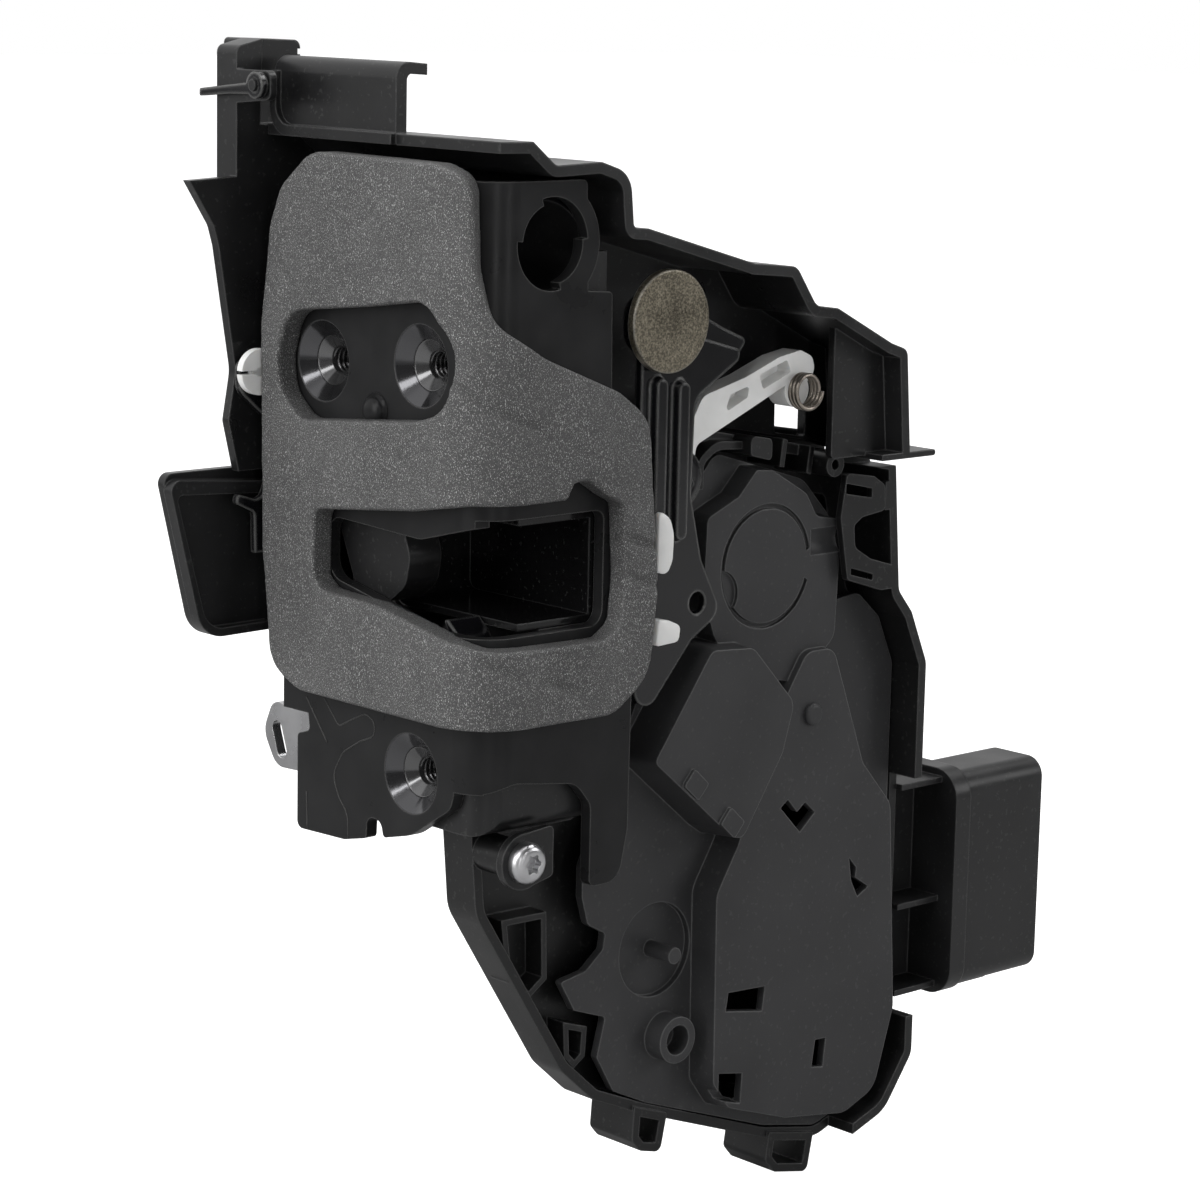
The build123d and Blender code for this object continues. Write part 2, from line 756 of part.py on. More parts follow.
# White lock lever: two tips show past the seal
with BuildPart() as lock_lever:
    with BuildSketch(cabin_plane(lock_front)):
        outline(
            (lock_x - 3.6, lock_z + 4.0, 3.0),
            (lock_x - 3.6, lock_z - 4.0, 3.0),
            (38.0, 20.0, 2.0),
            (44.5, 19.6, 1.0),
            (44.5, 24.0, 1.0),
            (39.0, 27.0, 2.0),
            (39.0, 33.0, 1.0),
            (43.5, 34.4, 1.0),
            (43.5, 42.0, 2.0),
            (39.0, 45.0, 1.0),
        )
        with Locations((lock_x, lock_z)):
            Circle(lock_post_r, mode=Mode.SUBTRACT)
    extrude(amount=-lock_t)
save(lock_lever, "lock_lever")


# Springs are coils of round wire
def coil(name, centre, direction, coil_r, wire, turns):
    pitch = wire + coil_gap
    with BuildPart() as spring:
        with BuildLine() as path:
            Helix(pitch, pitch * turns, coil_r, center=centre, direction=direction)
        with BuildSketch(Plane(origin=path.line @ 0, z_dir=path.line % 0)):
            Circle(wire / 2)
        sweep(is_frenet=True)
    save(spring, name)


coil(
    "fork_spring",
    (lever_x + spring_wire / 2 - 0.1, fork_y, fork_z),
    (1, 0, 0),
    pin_r + spring_wire / 2 + gap,
    spring_wire,
    1.5,
)
coil(
    "toggle_spring",
    (toggle_x, link_front - gap - toggle_wire / 2, toggle_z),
    (0, -1, 0),
    toggle_coil_r,
    toggle_wire,
    toggle_turns,
)


# Actuator base: moulded tray with a deeper box for the drive
def base_outline():
    outline(
        (2.8, housing_foot, 1.0),
        (4.2, -26.0, 8.0),
        (25.6, -59.5, 8.0),
        (34.0, -67.0, 6.0),
        (47.0, -72.5),
        (79.4, -84.3),
        (95.0, -87.6, 8.0),
        (108.0, -83.0, 8.0),
        (neck_x, -72.5, 4.0),
        (neck_x, 8.6, 4.0),
        (110.8, 19.3, 3.0),
        (106.8, 24.0, 3.0),
        (104.6, 50.0, 2.0),
        (60.0, 58.5, 4.0),
        (42.0, 58.0, 3.0),
        (housing_reach, 46.0, 3.0),
        (housing_reach, housing_foot),
    )


def deep_outline():
    outline(
        (40.0, -40.0, 4.0),
        (56.0, -70.0, 4.0),
        (96.0, -82.0, 6.0),
        (110.0, -66.0, 4.0),
        (111.5, -10.0, 8.0),
        (100.0, 44.0, 4.0),
        (62.0, 50.0, 6.0),
        (40.0, 30.0, 4.0),
    )


base_floor_y = base_back_y - floor_t
loop_wall = 1.7
loop_depth = 12.0
snap_loops = [
    [(44.4, -70.4), (43.9, -77.2, 1.5), (46.0, -79.6, 1.5), (51.4, -81.0, 1.5), (53.0, -73.5)],
    [(81.4, -83.6), (80.5, -89.4, 1.5), (83.0, -92.2, 1.5), (92.4, -94.2, 1.5), (94.0, -86.3)],
]
recess_pockets = [
    [(11.6, -28.4), (22.6, -28.6), (23.0, -41.6), (18.6, -44.6), (13.2, -40.4)],
    [(27.4, -50.8), (33.4, -52.8), (33.0, -58.6), (30.2, -60.4), (27.8, -57.8)],
]
eye_spot = (88.2, 50.4)
lip_y = -12.0
tab_y = -14.2
with BuildPart() as actuator_base:
    with BuildSketch(cabin_plane(base_rim_y)):
        base_outline()
    extrude(amount=-(base_back_y - base_rim_y))
    with BuildSketch(cabin_plane(base_back_y)):
        deep_outline()
    extrude(amount=-(deep_back_y - base_back_y))
    with BuildSketch(cabin_plane(base_rim_y)):
        base_outline()
        offset(amount=-wall)
    extrude(amount=-(base_floor_y - base_rim_y), mode=Mode.SUBTRACT)
    with BuildSketch(cabin_plane(base_rim_y)):
        deep_outline()
        offset(amount=-wall)
    extrude(amount=-(deep_back_y - base_rim_y - floor_t), mode=Mode.SUBTRACT)
    # The right wall stands taller, but not across the connector's neck
    with BuildSketch(cabin_plane(base_rim_y)):
        base_outline()
        with BuildSketch(mode=Mode.PRIVATE) as tray_inside:
            base_outline()
            offset(amount=-wall)
        add(tray_inside.sketch, mode=Mode.SUBTRACT)
        outline(
            (99.0, -95.0),
            (neck_x + 1, -95.0),
            (neck_x + 1, plug_low - 2.0),
            (neck_x - wall - 1, plug_low - 2.0),
            (neck_x - wall - 1, plug_high + 2.0),
            (neck_x + 1, plug_high + 2.0),
            (neck_x + 1, 49.0),
            (99.0, 49.0),
            mode=Mode.INTERSECT,
        )
    extrude(amount=base_rim_y - tall_rim_y)
    # Slotted plate at the top of that wall
    with BuildSketch(cabin_plane(tall_rim_y)):
        outline(
            (91.0, 48.6, 1.0),
            (98.6, 47.4, 1.0),
            (101.8, 45.4, 1.5),
            (102.0, 40.4, 1.0),
            (95.6, 39.6, 1.5),
            (93.4, 38.2, 1.0),
            (93.8, 33.8, 2.0),
            (98.3, 31.2, 1.0),
            (104.4, 29.4, 1.0),
            (106.4, 24.6, 1.0),
            (101.6, 24.6, 1.0),
            (92.0, 27.6, 1.0),
            (89.6, 40.0),
        )
        outline((90.8, 44.6, 0.3), (90.8, 46.6, 0.3), (98.2, 45.0, 0.3), (98.2, 43.2, 0.3), mode=Mode.SUBTRACT)
        outline((92.8, 28.6, 0.3), (92.8, 29.9, 0.3), (99.2, 28.0, 0.3), (99.2, 26.8, 0.3), mode=Mode.SUBTRACT)
    extrude(amount=-1.5)
    with BuildSketch(cabin_plane(tall_rim_y)):
        outline((102.0, 46.0), (104.6, 46.0), (104.9, 40.4), (102.0, 40.4))
    extrude(amount=-1.5)
    # Snap loops under the tray
    for loop_corners in snap_loops:
        with BuildSketch(cabin_plane(base_rim_y - 0.6)):
            outline(*loop_corners)
        extrude(amount=-loop_depth)
        with BuildSketch(cabin_plane(base_rim_y - 0.6)):
            outline(*loop_corners)
            offset(amount=-loop_wall)
        extrude(amount=-loop_depth, mode=Mode.SUBTRACT)
    # Walls above the drive: an arched lip, two ribs, a tab and an eye
    with BuildSketch(cabin_plane(base_floor_y)):
        outline(
            (54.4, 48.0),
            (54.6, 53.6, 3.0),
            (59.0, 56.9, 6.0),
            (66.0, 56.3),
            (66.0, 54.8),
            (59.4, 55.2, 5.0),
            (56.0, 52.8, 2.0),
            (56.0, 48.0),
        )
        outline((76.2, 50.6), (77.0, 56.0), (78.2, 55.6), (77.4, 50.4))
        outline((83.6, 48.8), (84.4, 54.0), (85.6, 53.8), (84.8, 48.4))
    extrude(amount=base_floor_y - lip_y)
    with BuildSketch(cabin_plane(base_floor_y)):
        outline((66.2, 53.8, 0.8), (66.2, 57.6, 1.2), (71.8, 56.6, 1.2), (71.8, 52.4, 0.8))
    extrude(amount=base_floor_y - tab_y)
    with along_y(tall_rim_y + 0.6, [eye_spot]):
        Cylinder(2.4, base_floor_y - tall_rim_y - 0.6, align=base_align)
        Cylinder(1.0, 4.0, align=base_align, mode=Mode.SUBTRACT)
    # Pockets in the left recess
    for pocket in recess_pockets:
        with BuildSketch(cabin_plane(base_floor_y)):
            outline(*pocket)
            with BuildSketch(mode=Mode.PRIVATE) as pocket_inside:
                outline(*pocket)
                offset(amount=-1.2)
            add(pocket_inside.sketch, mode=Mode.SUBTRACT)
        extrude(amount=4.6)
    # Screw tube with its tab, lever posts and bracket posts
    with BuildSketch(cabin_plane(tube_front_y - 1.6)):
        with Locations((screw_x, screw_z)):
            Circle(tube_r + 1.6)
        outline(
            (screw_x, screw_z + tube_r + 1.6),
            (screw_x + 7.0, screw_z + tube_r + 2.2, 1.0),
            (screw_x + 7.0, screw_z - tube_r, 1.0),
            (screw_x, screw_z - tube_r - 1.6),
        )
    extrude(amount=-1.6)
    with along_y(tube_front_y, [(screw_x, screw_z)]):
        Cylinder(tube_r, base_floor_y - tube_front_y, align=base_align)
    with along_y(tube_front_y - 1.6, [(screw_x, screw_z)]):
        Cylinder(screw_r + pin_gap, 14.0, align=base_align, mode=Mode.SUBTRACT)
    with along_y(link_front, [(link_x, link_z)]):
        Cylinder(link_post_r - pin_gap, base_floor_y - link_front, align=base_align)
    with along_y(link_front + link_t + gap, [(link_x, link_z)]):
        Cylinder(link_hub_r - 1.0, base_floor_y - link_front - link_t - gap, align=base_align)
    with along_y(lock_front, [(lock_x, lock_z)]):
        Cylinder(lock_post_r - pin_gap, base_floor_y - lock_front, align=base_align)
    with along_y(lock_front + lock_t + gap, [(lock_x, lock_z)]):
        Cylinder(lock_post_r + 1.5, base_floor_y - lock_front - lock_t - gap, align=base_align)
    deep_floor = deep_back_y - floor_t
    with along_y(drive_y - wheel_t, [(wheel_x, wheel_z)]):
        Cylinder(wheel_bore_r - pin_gap, deep_floor - drive_y + wheel_t, align=base_align)
    with along_y(drive_y + wheel_t / 2 + gap, [(wheel_x, wheel_z)]):
        Cylinder(wheel_bore_r + 1.2, deep_floor - drive_y - wheel_t / 2 - gap, align=base_align)
    with along_y(plateau_y + cover_t, [(rivet_x, rivet_z)]):
        Cylinder(2.6, deep_floor - plateau_y - cover_t, align=base_align)
    with along_y(plateau_y, [(rivet_x, rivet_z)]):
        Cylinder(1.2, 9.0, align=base_align, mode=Mode.SUBTRACT)
    with BuildSketch(cabin_plane(drive_y + motor_flat)):
        for along in (0.25, 0.75):
            spot = drive_plane.origin - drive_dir * (motor_from_mesh + along * motor_len)
            with Locations((spot.X, spot.Z)):
                Rectangle(1.6, 10.0, rotation=drive_angle)
    extrude(amount=-(deep_floor - drive_y - motor_flat))
    with along_y(bracket_y + bracket_t, [(48.6, 36.0), (40.5, 13.0)]):
        Cylinder(2.4, base_floor_y - bracket_y - bracket_t, align=base_align)
save(actuator_base, "actuator_base")

# Pan head screw with a six-lobed recess
with BuildPart() as tube_screw:
    with along_y(tube_front_y - 1.6, [(screw_x, screw_z)]):
        Cylinder(screw_r, 12.0, align=base_align)
    with BuildSketch(cabin_plane(tube_front_y - 1.6)):
        with Locations((screw_x, screw_z)):
            Circle(screw_head_r)
    extrude(amount=2.6)
    fillet(tube_screw.edges().filter_by(GeomType.CIRCLE).sort_by(Axis.Y)[0], 1.6)
    with BuildSketch(cabin_plane(tube_front_y - 4.2)):
        with Locations((screw_x, screw_z)):
            Circle(1.5)
            with PolarLocations(1.45, 6):
                Circle(0.45)
    extrude(amount=-1.6, mode=Mode.SUBTRACT)
save(tube_screw, "tube_screw")


# Actuator cover: one moulded sheet with the raised plateau, gear dome and motor bulge
cover_edge_x = neck_x - wall - 0.4


def cover_outline():
    outline(
        (34.0, -14.0, 2.0),
        (30.4, -21.0, 1.5),
        (30.4, -27.0, 1.5),
        (32.0, -32.5, 1.5),
        (36.5, -35.0, 0.8),
        (36.0, -38.0, 0.8),
        (31.6, -41.5, 1.5),
        (25.4, -42.5, 0.5),
        (29.0, -48.6, 0.5),
        (37.0, -51.4, 0.8),
        (35.0, -59.0, 0.8),
        (39.4, -66.5, 1.0),
        (48.0, -70.6),
        (80.0, -82.0),
        (95.0, -85.2, 6.0),
        (106.8, -81.0, 6.5),
        (cover_edge_x, -71.0, 3.0),
        (cover_edge_x, 7.8, 3.0),
        (108.8, 17.6, 3.0),
        (102.6, 23.0, 3.0),
        (93.6, 22.0, 2.0),
        (93.8, 39.0, 4.0),
        (86.0, 47.0, 6.0),
        (62.0, 54.0, 3.0),
        (53.5, 44.0, 3.0),
        (52.0, 28.0, 3.0),
        (42.0, 6.0, 3.0),
    )


def plateau_outline():
    outline(
        (64.5, -21.0, 3.0),
        (59.0, -30.0, 5.0),
        (59.5, -68.0, 3.0),
        (64.0, -74.0, 3.0),
        (80.0, -79.4, 3.0),
        (97.0, -82.0, 6.0),
        (106.0, -78.5, 6.0),
        (111.0, -62.0, 6.0),
        (108.0, -19.0, 5.0),
        (99.5, -9.5, 4.0),
        (94.5, 3.5, 4.0),
        (90.0, 15.0, 4.0),
        (82.0, 15.0, 4.0),
        (72.0, 0.0, 3.0),
    )


def dome_outline():
    outline(
        (55.6, 43.0, 2.0),
        (63.8, 46.4, 1.0),
        (68.5, 51.2, 1.0),
        (73.0, 50.8, 2.0),
        (82.5, 45.5, 4.0),
        (85.5, 40.8, 2.0),
        (91.6, 39.8, 2.0),
        (92.4, 33.0, 2.0),
        (91.6, 16.0, 4.0),
        (82.0, 8.0, 4.0),
        (64.0, 11.0, 4.0),
        (58.0, 20.0, 3.0),
        (55.0, 28.0, 3.0),
    )


def bulge_outline():
    outline(
        (38.5, -1.0, 2.0),
        (53.4, 19.4, 3.0),
        (65.0, 18.6, 4.0),
        (77.0, 6.0, 4.0),
        (74.0, -4.0, 4.0),
        (63.0, -20.6, 3.0),
        (57.5, -17.0, 2.0),
    )


raised_forms = [(dome_outline, dome_y), (plateau_outline, plateau_y), (bulge_outline, bulge_y)]
pad_spots = [(49.8, -6.4), (59.6, -15.2)]
slot_corners = [
    [(76.2, -15.6), (78.2, -14.2), (80.8, -17.0), (83.0, -15.4), (85.8, -17.8), (81.8, -21.2)],
    [(96.0, -28.6), (98.2, -31.0), (98.0, -33.0), (101.8, -35.4), (98.8, -37.0), (96.8, -33.4)],
    [(63.4, -50.2), (73.4, -50.7), (72.8, -55.6), (62.8, -53.8)],
    [(61.4, -66.0), (67.8, -67.2), (67.4, -73.2), (61.4, -71.4)],
    [(88.0, -64.5), (91.0, -64.6), (90.4, -70.5), (87.2, -69.9)],
]
lid_x = wheel_x - 0.4
lid_z = wheel_z + 0.6
lid_r = 12.0
spider_x = 49.4
spider_z = -40.4
spider_r = 9.2
spider_rise = 5.6
boss_x = 51.9
boss_z = -57.8
with BuildPart() as actuator_cover:
    with BuildSketch(cabin_plane(cover_front)):
        cover_outline()
    extrude(amount=-cover_t)
    # Round well beside the plateau
    with BuildSketch(cabin_plane(cover_front)):
        with Locations((spider_x, spider_z)):
            Circle(spider_r + 1.2)
    extrude(amount=-cover_t - 1.0)
    with BuildSketch(cabin_plane(cover_front)):
        with Locations((spider_x, spider_z)):
            Circle(spider_r)
    extrude(amount=-cover_t + 0.4, mode=Mode.SUBTRACT)
    for form, top_y in raised_forms:
        with BuildSketch(cabin_plane(cover_front)):
            form()
        extrude(amount=cover_front - top_y, taper=5)
    with BuildSketch(cabin_plane(cover_back)):
        for form, _ in raised_forms:
            form()
        offset(amount=-cover_t - 0.6)
    extrude(amount=cover_back - dome_y - cover_t, mode=Mode.SUBTRACT)
    for form, top_y in raised_forms[1:]:
        with BuildSketch(cabin_plane(cover_back)):
            form()
            offset(amount=-cover_t)
        extrude(amount=cover_back - top_y - cover_t, taper=5, mode=Mode.SUBTRACT)
    # Room for the motor
    with BuildSketch(cabin_plane(cover_back)):
        middle = drive_plane.origin - drive_dir * (motor_from_mesh + motor_len / 2)
        with Locations((middle.X, middle.Z)):
            Rectangle(motor_len + 5.0, 2 * motor_r + 1.0, rotation=drive_angle)
    extrude(amount=cover_back - drive_y + motor_flat + gap, mode=Mode.SUBTRACT)
    # Round lid of the gear dome: a groove that stops short on the right, and a crescent
    with BuildSketch(cabin_plane(dome_y)):
        with Locations((lid_x, lid_z)):
            Circle(lid_r)
            Circle(lid_r - 1.0, mode=Mode.SUBTRACT)
        outline((90.0, 38.0), (90.0, 24.0), (78.0, 31.5), mode=Mode.SUBTRACT)
    extrude(amount=-0.9, mode=Mode.SUBTRACT)
    with BuildSketch(cabin_plane(dome_y)):
        with Locations((lid_x, lid_z)):
            Circle(lid_r)
        with Locations((lid_x - lid_r, lid_z - 4.4)):
            Circle(4.6, mode=Mode.INTERSECT)
    extrude(amount=-0.8, mode=Mode.SUBTRACT)
    with BuildSketch(cabin_plane(bulge_y)):
        for spot in pad_spots:
            with Locations(spot):
                RectangleRounded(5.0, 4.0, 0.6, rotation=-42)
    extrude(amount=0.8)
    with BuildSketch(cabin_plane(plateau_y - 1)):
        with Locations((rivet_x, rivet_z)):
            Circle(1.2)
    extrude(amount=-cover_t - 2, mode=Mode.SUBTRACT)
    for corners in slot_corners:
        with BuildSketch(cabin_plane(plateau_y - 1)):
            outline(*corners)
        extrude(amount=-cover_t - 2, mode=Mode.SUBTRACT)
    # Half-round trough that leads from the lid to the slotted plate
    with Locations(Location((lid_x + lid_r, dome_y - 2.2, lid_z + 3.4), (0, 90, 0))):
        Cylinder(3.4, 12.0, align=base_align, mode=Mode.SUBTRACT)
    # Boss, and the three ribs in the well
    with BuildSketch(cabin_plane(cover_front)):
        with Locations((boss_x, boss_z)):
            Circle(4.6)
            Circle(2.9, mode=Mode.SUBTRACT)
    extrude(amount=4.4)
    with BuildSketch(cabin_plane(cover_back)):
        with Locations((spider_x, spider_z)):
            Circle(1.6)
    extrude(amount=cover_t + spider_rise)
    for turn in (30, 150, 270):
        rib_plane = Plane(
            origin=(spider_x, cover_back, spider_z),
            x_dir=(cos(radians(turn)), 0, sin(radians(turn))),
            z_dir=(-sin(radians(turn)), 0, cos(radians(turn))),
        )
        with BuildSketch(rib_plane):
            outline(
                (0, 0),
                (spider_r, 0),
                (spider_r, cover_t),
                (1.0, cover_t + spider_rise),
                (0, cover_t + spider_rise),
            )
        extrude(amount=0.5, both=True)
save(actuator_cover, "actuator_cover")

# Motor, worm and worm wheel
with BuildPart() as lock_motor:
    with BuildSketch(drive_plane.offset(-motor_from_mesh)):
        Circle(motor_r)
        Rectangle(3 * motor_r, 2 * motor_flat, mode=Mode.INTERSECT)
    extrude(amount=-motor_len)
    with BuildSketch(drive_plane.offset(-motor_from_mesh)):
        Circle(2.6)
    extrude(amount=1.6)
    with BuildSketch(drive_plane.offset(2 - motor_from_mesh)):
        Circle(shaft_r + pin_gap)
    extrude(amount=-motor_len - 3, mode=Mode.SUBTRACT)
save(lock_motor, "lock_motor")

lead = pi * module_size
addendum = 0.8 * module_size
dedendum = 1.15 * module_size
half_tooth = lead / 4 - backlash / 2
flank = tan(radians(20))
worm_half = 8.0
with BuildPart() as worm:
    with BuildSketch(drive_plane.offset(-worm_half)):
        Circle(worm_r - dedendum)
    extrude(amount=2 * worm_half)
    with BuildSketch(drive_plane.offset(-motor_from_mesh - motor_len + 2)):
        Circle(shaft_r)
    extrude(amount=motor_from_mesh + motor_len + worm_half)
    with BuildLine() as thread_path:
        thread_start = mesh_point - drive_dir * (2.5 * lead)
        Helix(lead, 5 * lead, worm_r - dedendum, center=thread_start, direction=drive_dir)
    with BuildSketch(Plane(origin=thread_path.line @ 0, x_dir=drive_plane.x_dir, z_dir=thread_path.line % 0)):
        outline(
            (-0.4, -half_tooth - flank * dedendum),
            (dedendum + addendum, -half_tooth + flank * addendum),
            (dedendum + addendum, half_tooth - flank * addendum),
            (-0.4, half_tooth + flank * dedendum),
        )
    sweep(path=thread_path.line, is_frenet=True)
save(worm, "worm")

with BuildPart() as worm_wheel:
    with BuildSketch(cabin_plane(drive_y - wheel_t / 2)):
        with Locations((wheel_x, wheel_z)):
            Circle(pitch_r - dedendum)
            with PolarLocations(0, wheel_teeth, start_angle=drive_angle - 90 + 180 / wheel_teeth):
                Polygon(
                    (pitch_r - dedendum - 0.4, -half_tooth - flank * dedendum),
                    (pitch_r + addendum, -half_tooth + flank * addendum),
                    (pitch_r + addendum, half_tooth - flank * addendum),
                    (pitch_r - dedendum - 0.4, half_tooth + flank * dedendum),
                    align=None,
                )
            Circle(wheel_bore_r, mode=Mode.SUBTRACT)
    extrude(amount=-wheel_t)
    with BuildSketch(cabin_plane(drive_y - wheel_t / 2)):
        with Locations((wheel_x, wheel_z)):
            Circle(wheel_bore_r + 2.0)
            Circle(wheel_bore_r, mode=Mode.SUBTRACT)
    extrude(amount=2.0)
    # Driving horn that works the lock lever's fork
    with BuildSketch(cabin_plane(drive_y + wheel_t / 2)):
        with Locations((wheel_x - 6.0, wheel_z)):
            Circle(1.6)
    extrude(amount=-3.0)
save(worm_wheel, "worm_wheel")


# Two switches on the tray floor, and the strips that feed them and the motor
switch_spots = [(64.0, 40.0, 0), (66.0, -44.0, -70)]
switch_len = 12.0
switch_tall = 6.5
switch_t = 4.0
deep_floor_y = deep_back_y - floor_t
with BuildPart() as switches:
    for x, z, turn in switch_spots:
        with BuildSketch(cabin_plane(deep_floor_y - switch_t)):
            with Locations((x, z)):
                RectangleRounded(switch_len, switch_tall, 0.5, rotation=turn)
        extrude(amount=-switch_t)
        with BuildSketch(cabin_plane(deep_floor_y - switch_t)):
            with Locations((x, z)):
                Circle(1.0)
        extrude(amount=1.2)
save(switches, "lock_switches")

strip_t = 0.6
strip_step = 6.0
with BuildPart() as lead_frame:
    for i in range(3):
        z = plug_low + 14.0 + i * strip_step
        with BuildSketch(cabin_plane(deep_floor_y - strip_t)):
            outline(
                (105.0, z),
                (86.0 - i * 5.0, z),
                (82.0 - i * 5.0, z + 4.0),
                (82.0 - i * 5.0, z + 34.0),
                (80.0 - i * 5.0, z + 34.0),
                (80.0 - i * 5.0, z + 3.0),
                (85.0 - i * 5.0, z - 2.0),
                (105.0, z - 2.0),
            )
        extrude(amount=-strip_t)
save(lead_frame, "lead_frame")

# Connector: neck on the tray, shroud open away from the latch, and two rows of pins
plug_mid_y = (plug_front_y + plug_back_y) / 2
neck_rim_y = base_rim_y - 1.6
plug_mid_z = (plug_low + plug_high) / 2
plug_wide = plug_back_y - plug_front_y
plug_tall = plug_high - plug_low
with BuildPart() as connector_shroud:
    with BuildSketch(Plane.YZ.offset(plug_x)):
        with Locations((plug_mid_y, plug_mid_z)):
            RectangleRounded(plug_wide, plug_tall, 4.0)
    extrude(amount=plug_len)
    with BuildSketch(Plane.YZ.offset(plug_x + plug_len - socket_depth)):
        with Locations((plug_mid_y, plug_mid_z)):
            RectangleRounded(plug_wide - 2 * plug_wall, plug_tall - 2 * plug_wall, 4.0 - plug_wall)
    extrude(amount=socket_depth + 1, mode=Mode.SUBTRACT)
    # Collar round the plug's root, with large front corners
    with BuildSketch(Plane.YZ.offset(collar_x)):
        outline(
            (plug_front_y - 0.8, plug_high + 1.0, 6.0),
            (plug_back_y + 0.8, plug_high + 1.0, 2.0),
            (plug_back_y + 0.8, plug_low - 1.0, 2.0),
            (plug_front_y - 0.8, plug_low - 1.0, 6.0),
        )
    extrude(amount=collar_t)
    # Neck: a web with a rib along each edge and one across its middle
    with BuildSketch(Plane.YZ.offset(neck_x)):
        with Locations(((base_back_y + base_floor_y) / 2, plug_mid_z)):
            Rectangle(base_back_y - base_floor_y, plug_tall)
        for rib_z in (plug_high - neck_rib_t, plug_mid_z - 3.4, plug_low + neck_rib_t):
            with Locations(((base_back_y + neck_rim_y) / 2, rib_z)):
                Rectangle(base_back_y - neck_rim_y, neck_rib_t)
    extrude(amount=collar_x - neck_x + 0.5)
    # Guide ribs on the front and a locking ramp below
    with BuildSketch(Plane.YZ.offset(plug_x)):
        with Locations((plug_mid_y, plug_low - 0.6)):
            Rectangle(5.0, 1.4)
    extrude(amount=plug_len - 9.0)
save(connector_shroud, "connector_shroud")

pin_rows = 2
pins_per_row = 8
pin_pitch = 4.4
pin_width = 1.2
with BuildPart() as connector_pins:
    with BuildSketch(Plane.YZ.offset(plug_x + plug_len - socket_depth)):
        with Locations((plug_mid_y, plug_mid_z)):
            with GridLocations(5.0, pin_pitch, pin_rows, pins_per_row):
                Rectangle(0.7, pin_width)
    extrude(amount=12.0)
save(connector_pins, "connector_pins")

# Rivet that holds the cover to a post of the tray
with BuildPart() as cover_rivet:
    with along_y(plateau_y, [(rivet_x, rivet_z)]):
        Cylinder(1.2, 9.0, align=base_align)
    with along_y(plateau_y - 1.2, [(rivet_x, rivet_z)]):
        Cylinder(2.2, 1.2, align=base_align)
    fillet(cover_rivet.edges().filter_by(GeomType.CIRCLE).sort_by(Axis.Y)[0], 0.8)
save(cover_rivet, "cover_rivet")


# Weather shield: a roof that steps down over the mechanism, with the hood plate in front
panel_foot_z = 59.4
hood_start_y = 6.0
hood_end_y = 40.9
hood_top_z = 126.8


def shield_line():
    outline(
        (plate_x - 30, 114.5),
        (3.5, 114.0),
        (8.8, 109.8, 2.0),
        (19.5, 110.2, 2.0),
        (26.5, 108.0, 6.0),
        (27.5, 98.4, 1.0),
        (31.0, 98.2, 1.0),
        (58.0, 90.8),
        (69.0, 89.8, 3.0),
        (74.5, 82.2, 3.0),
        (80.3, 81.5, 2.0),
        (95.5, 74.0, 3.0),
        (100.0, 72.5, 2.0),
        (shield_right, 49.2),
        (shield_right, 30.0),
        (plate_x - 30, 30.0),
    )


with BuildPart() as upper_shield:
    with BuildSketch(cabin_plane(shield_front_y)):
        shield_line()
        offset(amount=-shield_t, mode=Mode.SUBTRACT)
    extrude(amount=-(shield_back_y - shield_front_y))
    with BuildSketch(cabin_plane(shield_front_y)):
        outline(
            (plate_x, 130.0),
            (plate_x, 60.0),
            (60.0, 60.0),
            (60.0, 51.4),
            (shield_right + 5, 51.4),
            (shield_right + 5, 130.0),
        )
    extrude(amount=-(shield_back_y - shield_front_y), mode=Mode.INTERSECT)
    with BuildSketch(cabin_plane(0.0)):
        with Locations((shield_right - 12.0, 60.0)):
            Rectangle(36.0, 50.0)
    extrude(amount=-(shield_back_y + 1), mode=Mode.SUBTRACT)
    # Panel behind the levers, with a window beside the post
    with BuildSketch(cabin_plane(-shield_t)):
        shield_line()
        outline(
            (housing_reach + gap, 120.0),
            (housing_reach + gap, panel_foot_z),
            (60.0, panel_foot_z),
            (shield_right - 0.5, panel_foot_z - 7.6),
            (shield_right - 0.5, 120.0),
            mode=Mode.INTERSECT,
        )
        outline((84.4, 68.0, 0.5), (84.6, 55.4, 0.5), (93.0, 54.0, 0.5), (93.0, 68.0, 0.5), mode=Mode.SUBTRACT)
    extrude(amount=-shield_t)
    # Hood plate with a turned top and a rim along its edges
    with BuildSketch(cabin_plane(hood_end_y)):
        outline(
            (plate_x, 113.0),
            (plate_x, hood_top_z, 3.0),
            (plate_x + 7.0, hood_top_z - 0.6),
            (plate_x + 7.0, hood_top_z - 2.6),
            (plate_x + 2.4, hood_top_z - 2.2, 1.2),
            (plate_x + 2.4, 113.0),
        )
    extrude(amount=hood_end_y - hood_start_y)
    with BuildSketch(Plane.YZ.offset(plate_x - 1.2)):
        outline(
            (hood_end_y, 112.2, 5.0),
            (hood_end_y, hood_top_z - 3.0),
            (hood_end_y - 1.8, hood_top_z - 3.0),
            (hood_end_y - 1.8, 114.2, 3.5),
            (hood_start_y, 114.2),
            (hood_start_y, 112.2),
        )
    extrude(amount=1.2 + 0.2)
    # Post panel and fin on the right
    with BuildSketch(cabin_plane(-17.4)):
        outline((84.6, 78.5), (84.6, 52.0, 1.0), (101.0, 52.0), (99.5, 72.5), (90.0, 75.5))
    extrude(amount=-1.6)
    with BuildSketch(cabin_plane(shield_front_y)):
        outline((94.0, 51.4), (94.0, 52.6), (109.0, 52.6, 0.6), (109.0, 51.4, 0.6))
    extrude(amount=-12.0)
save(upper_shield, "upper_shield")

# Outer side wall with its wing past the seal, the upright rib and the post above the roof
pillar_x = -11.1
child_x = pillar_x - gap


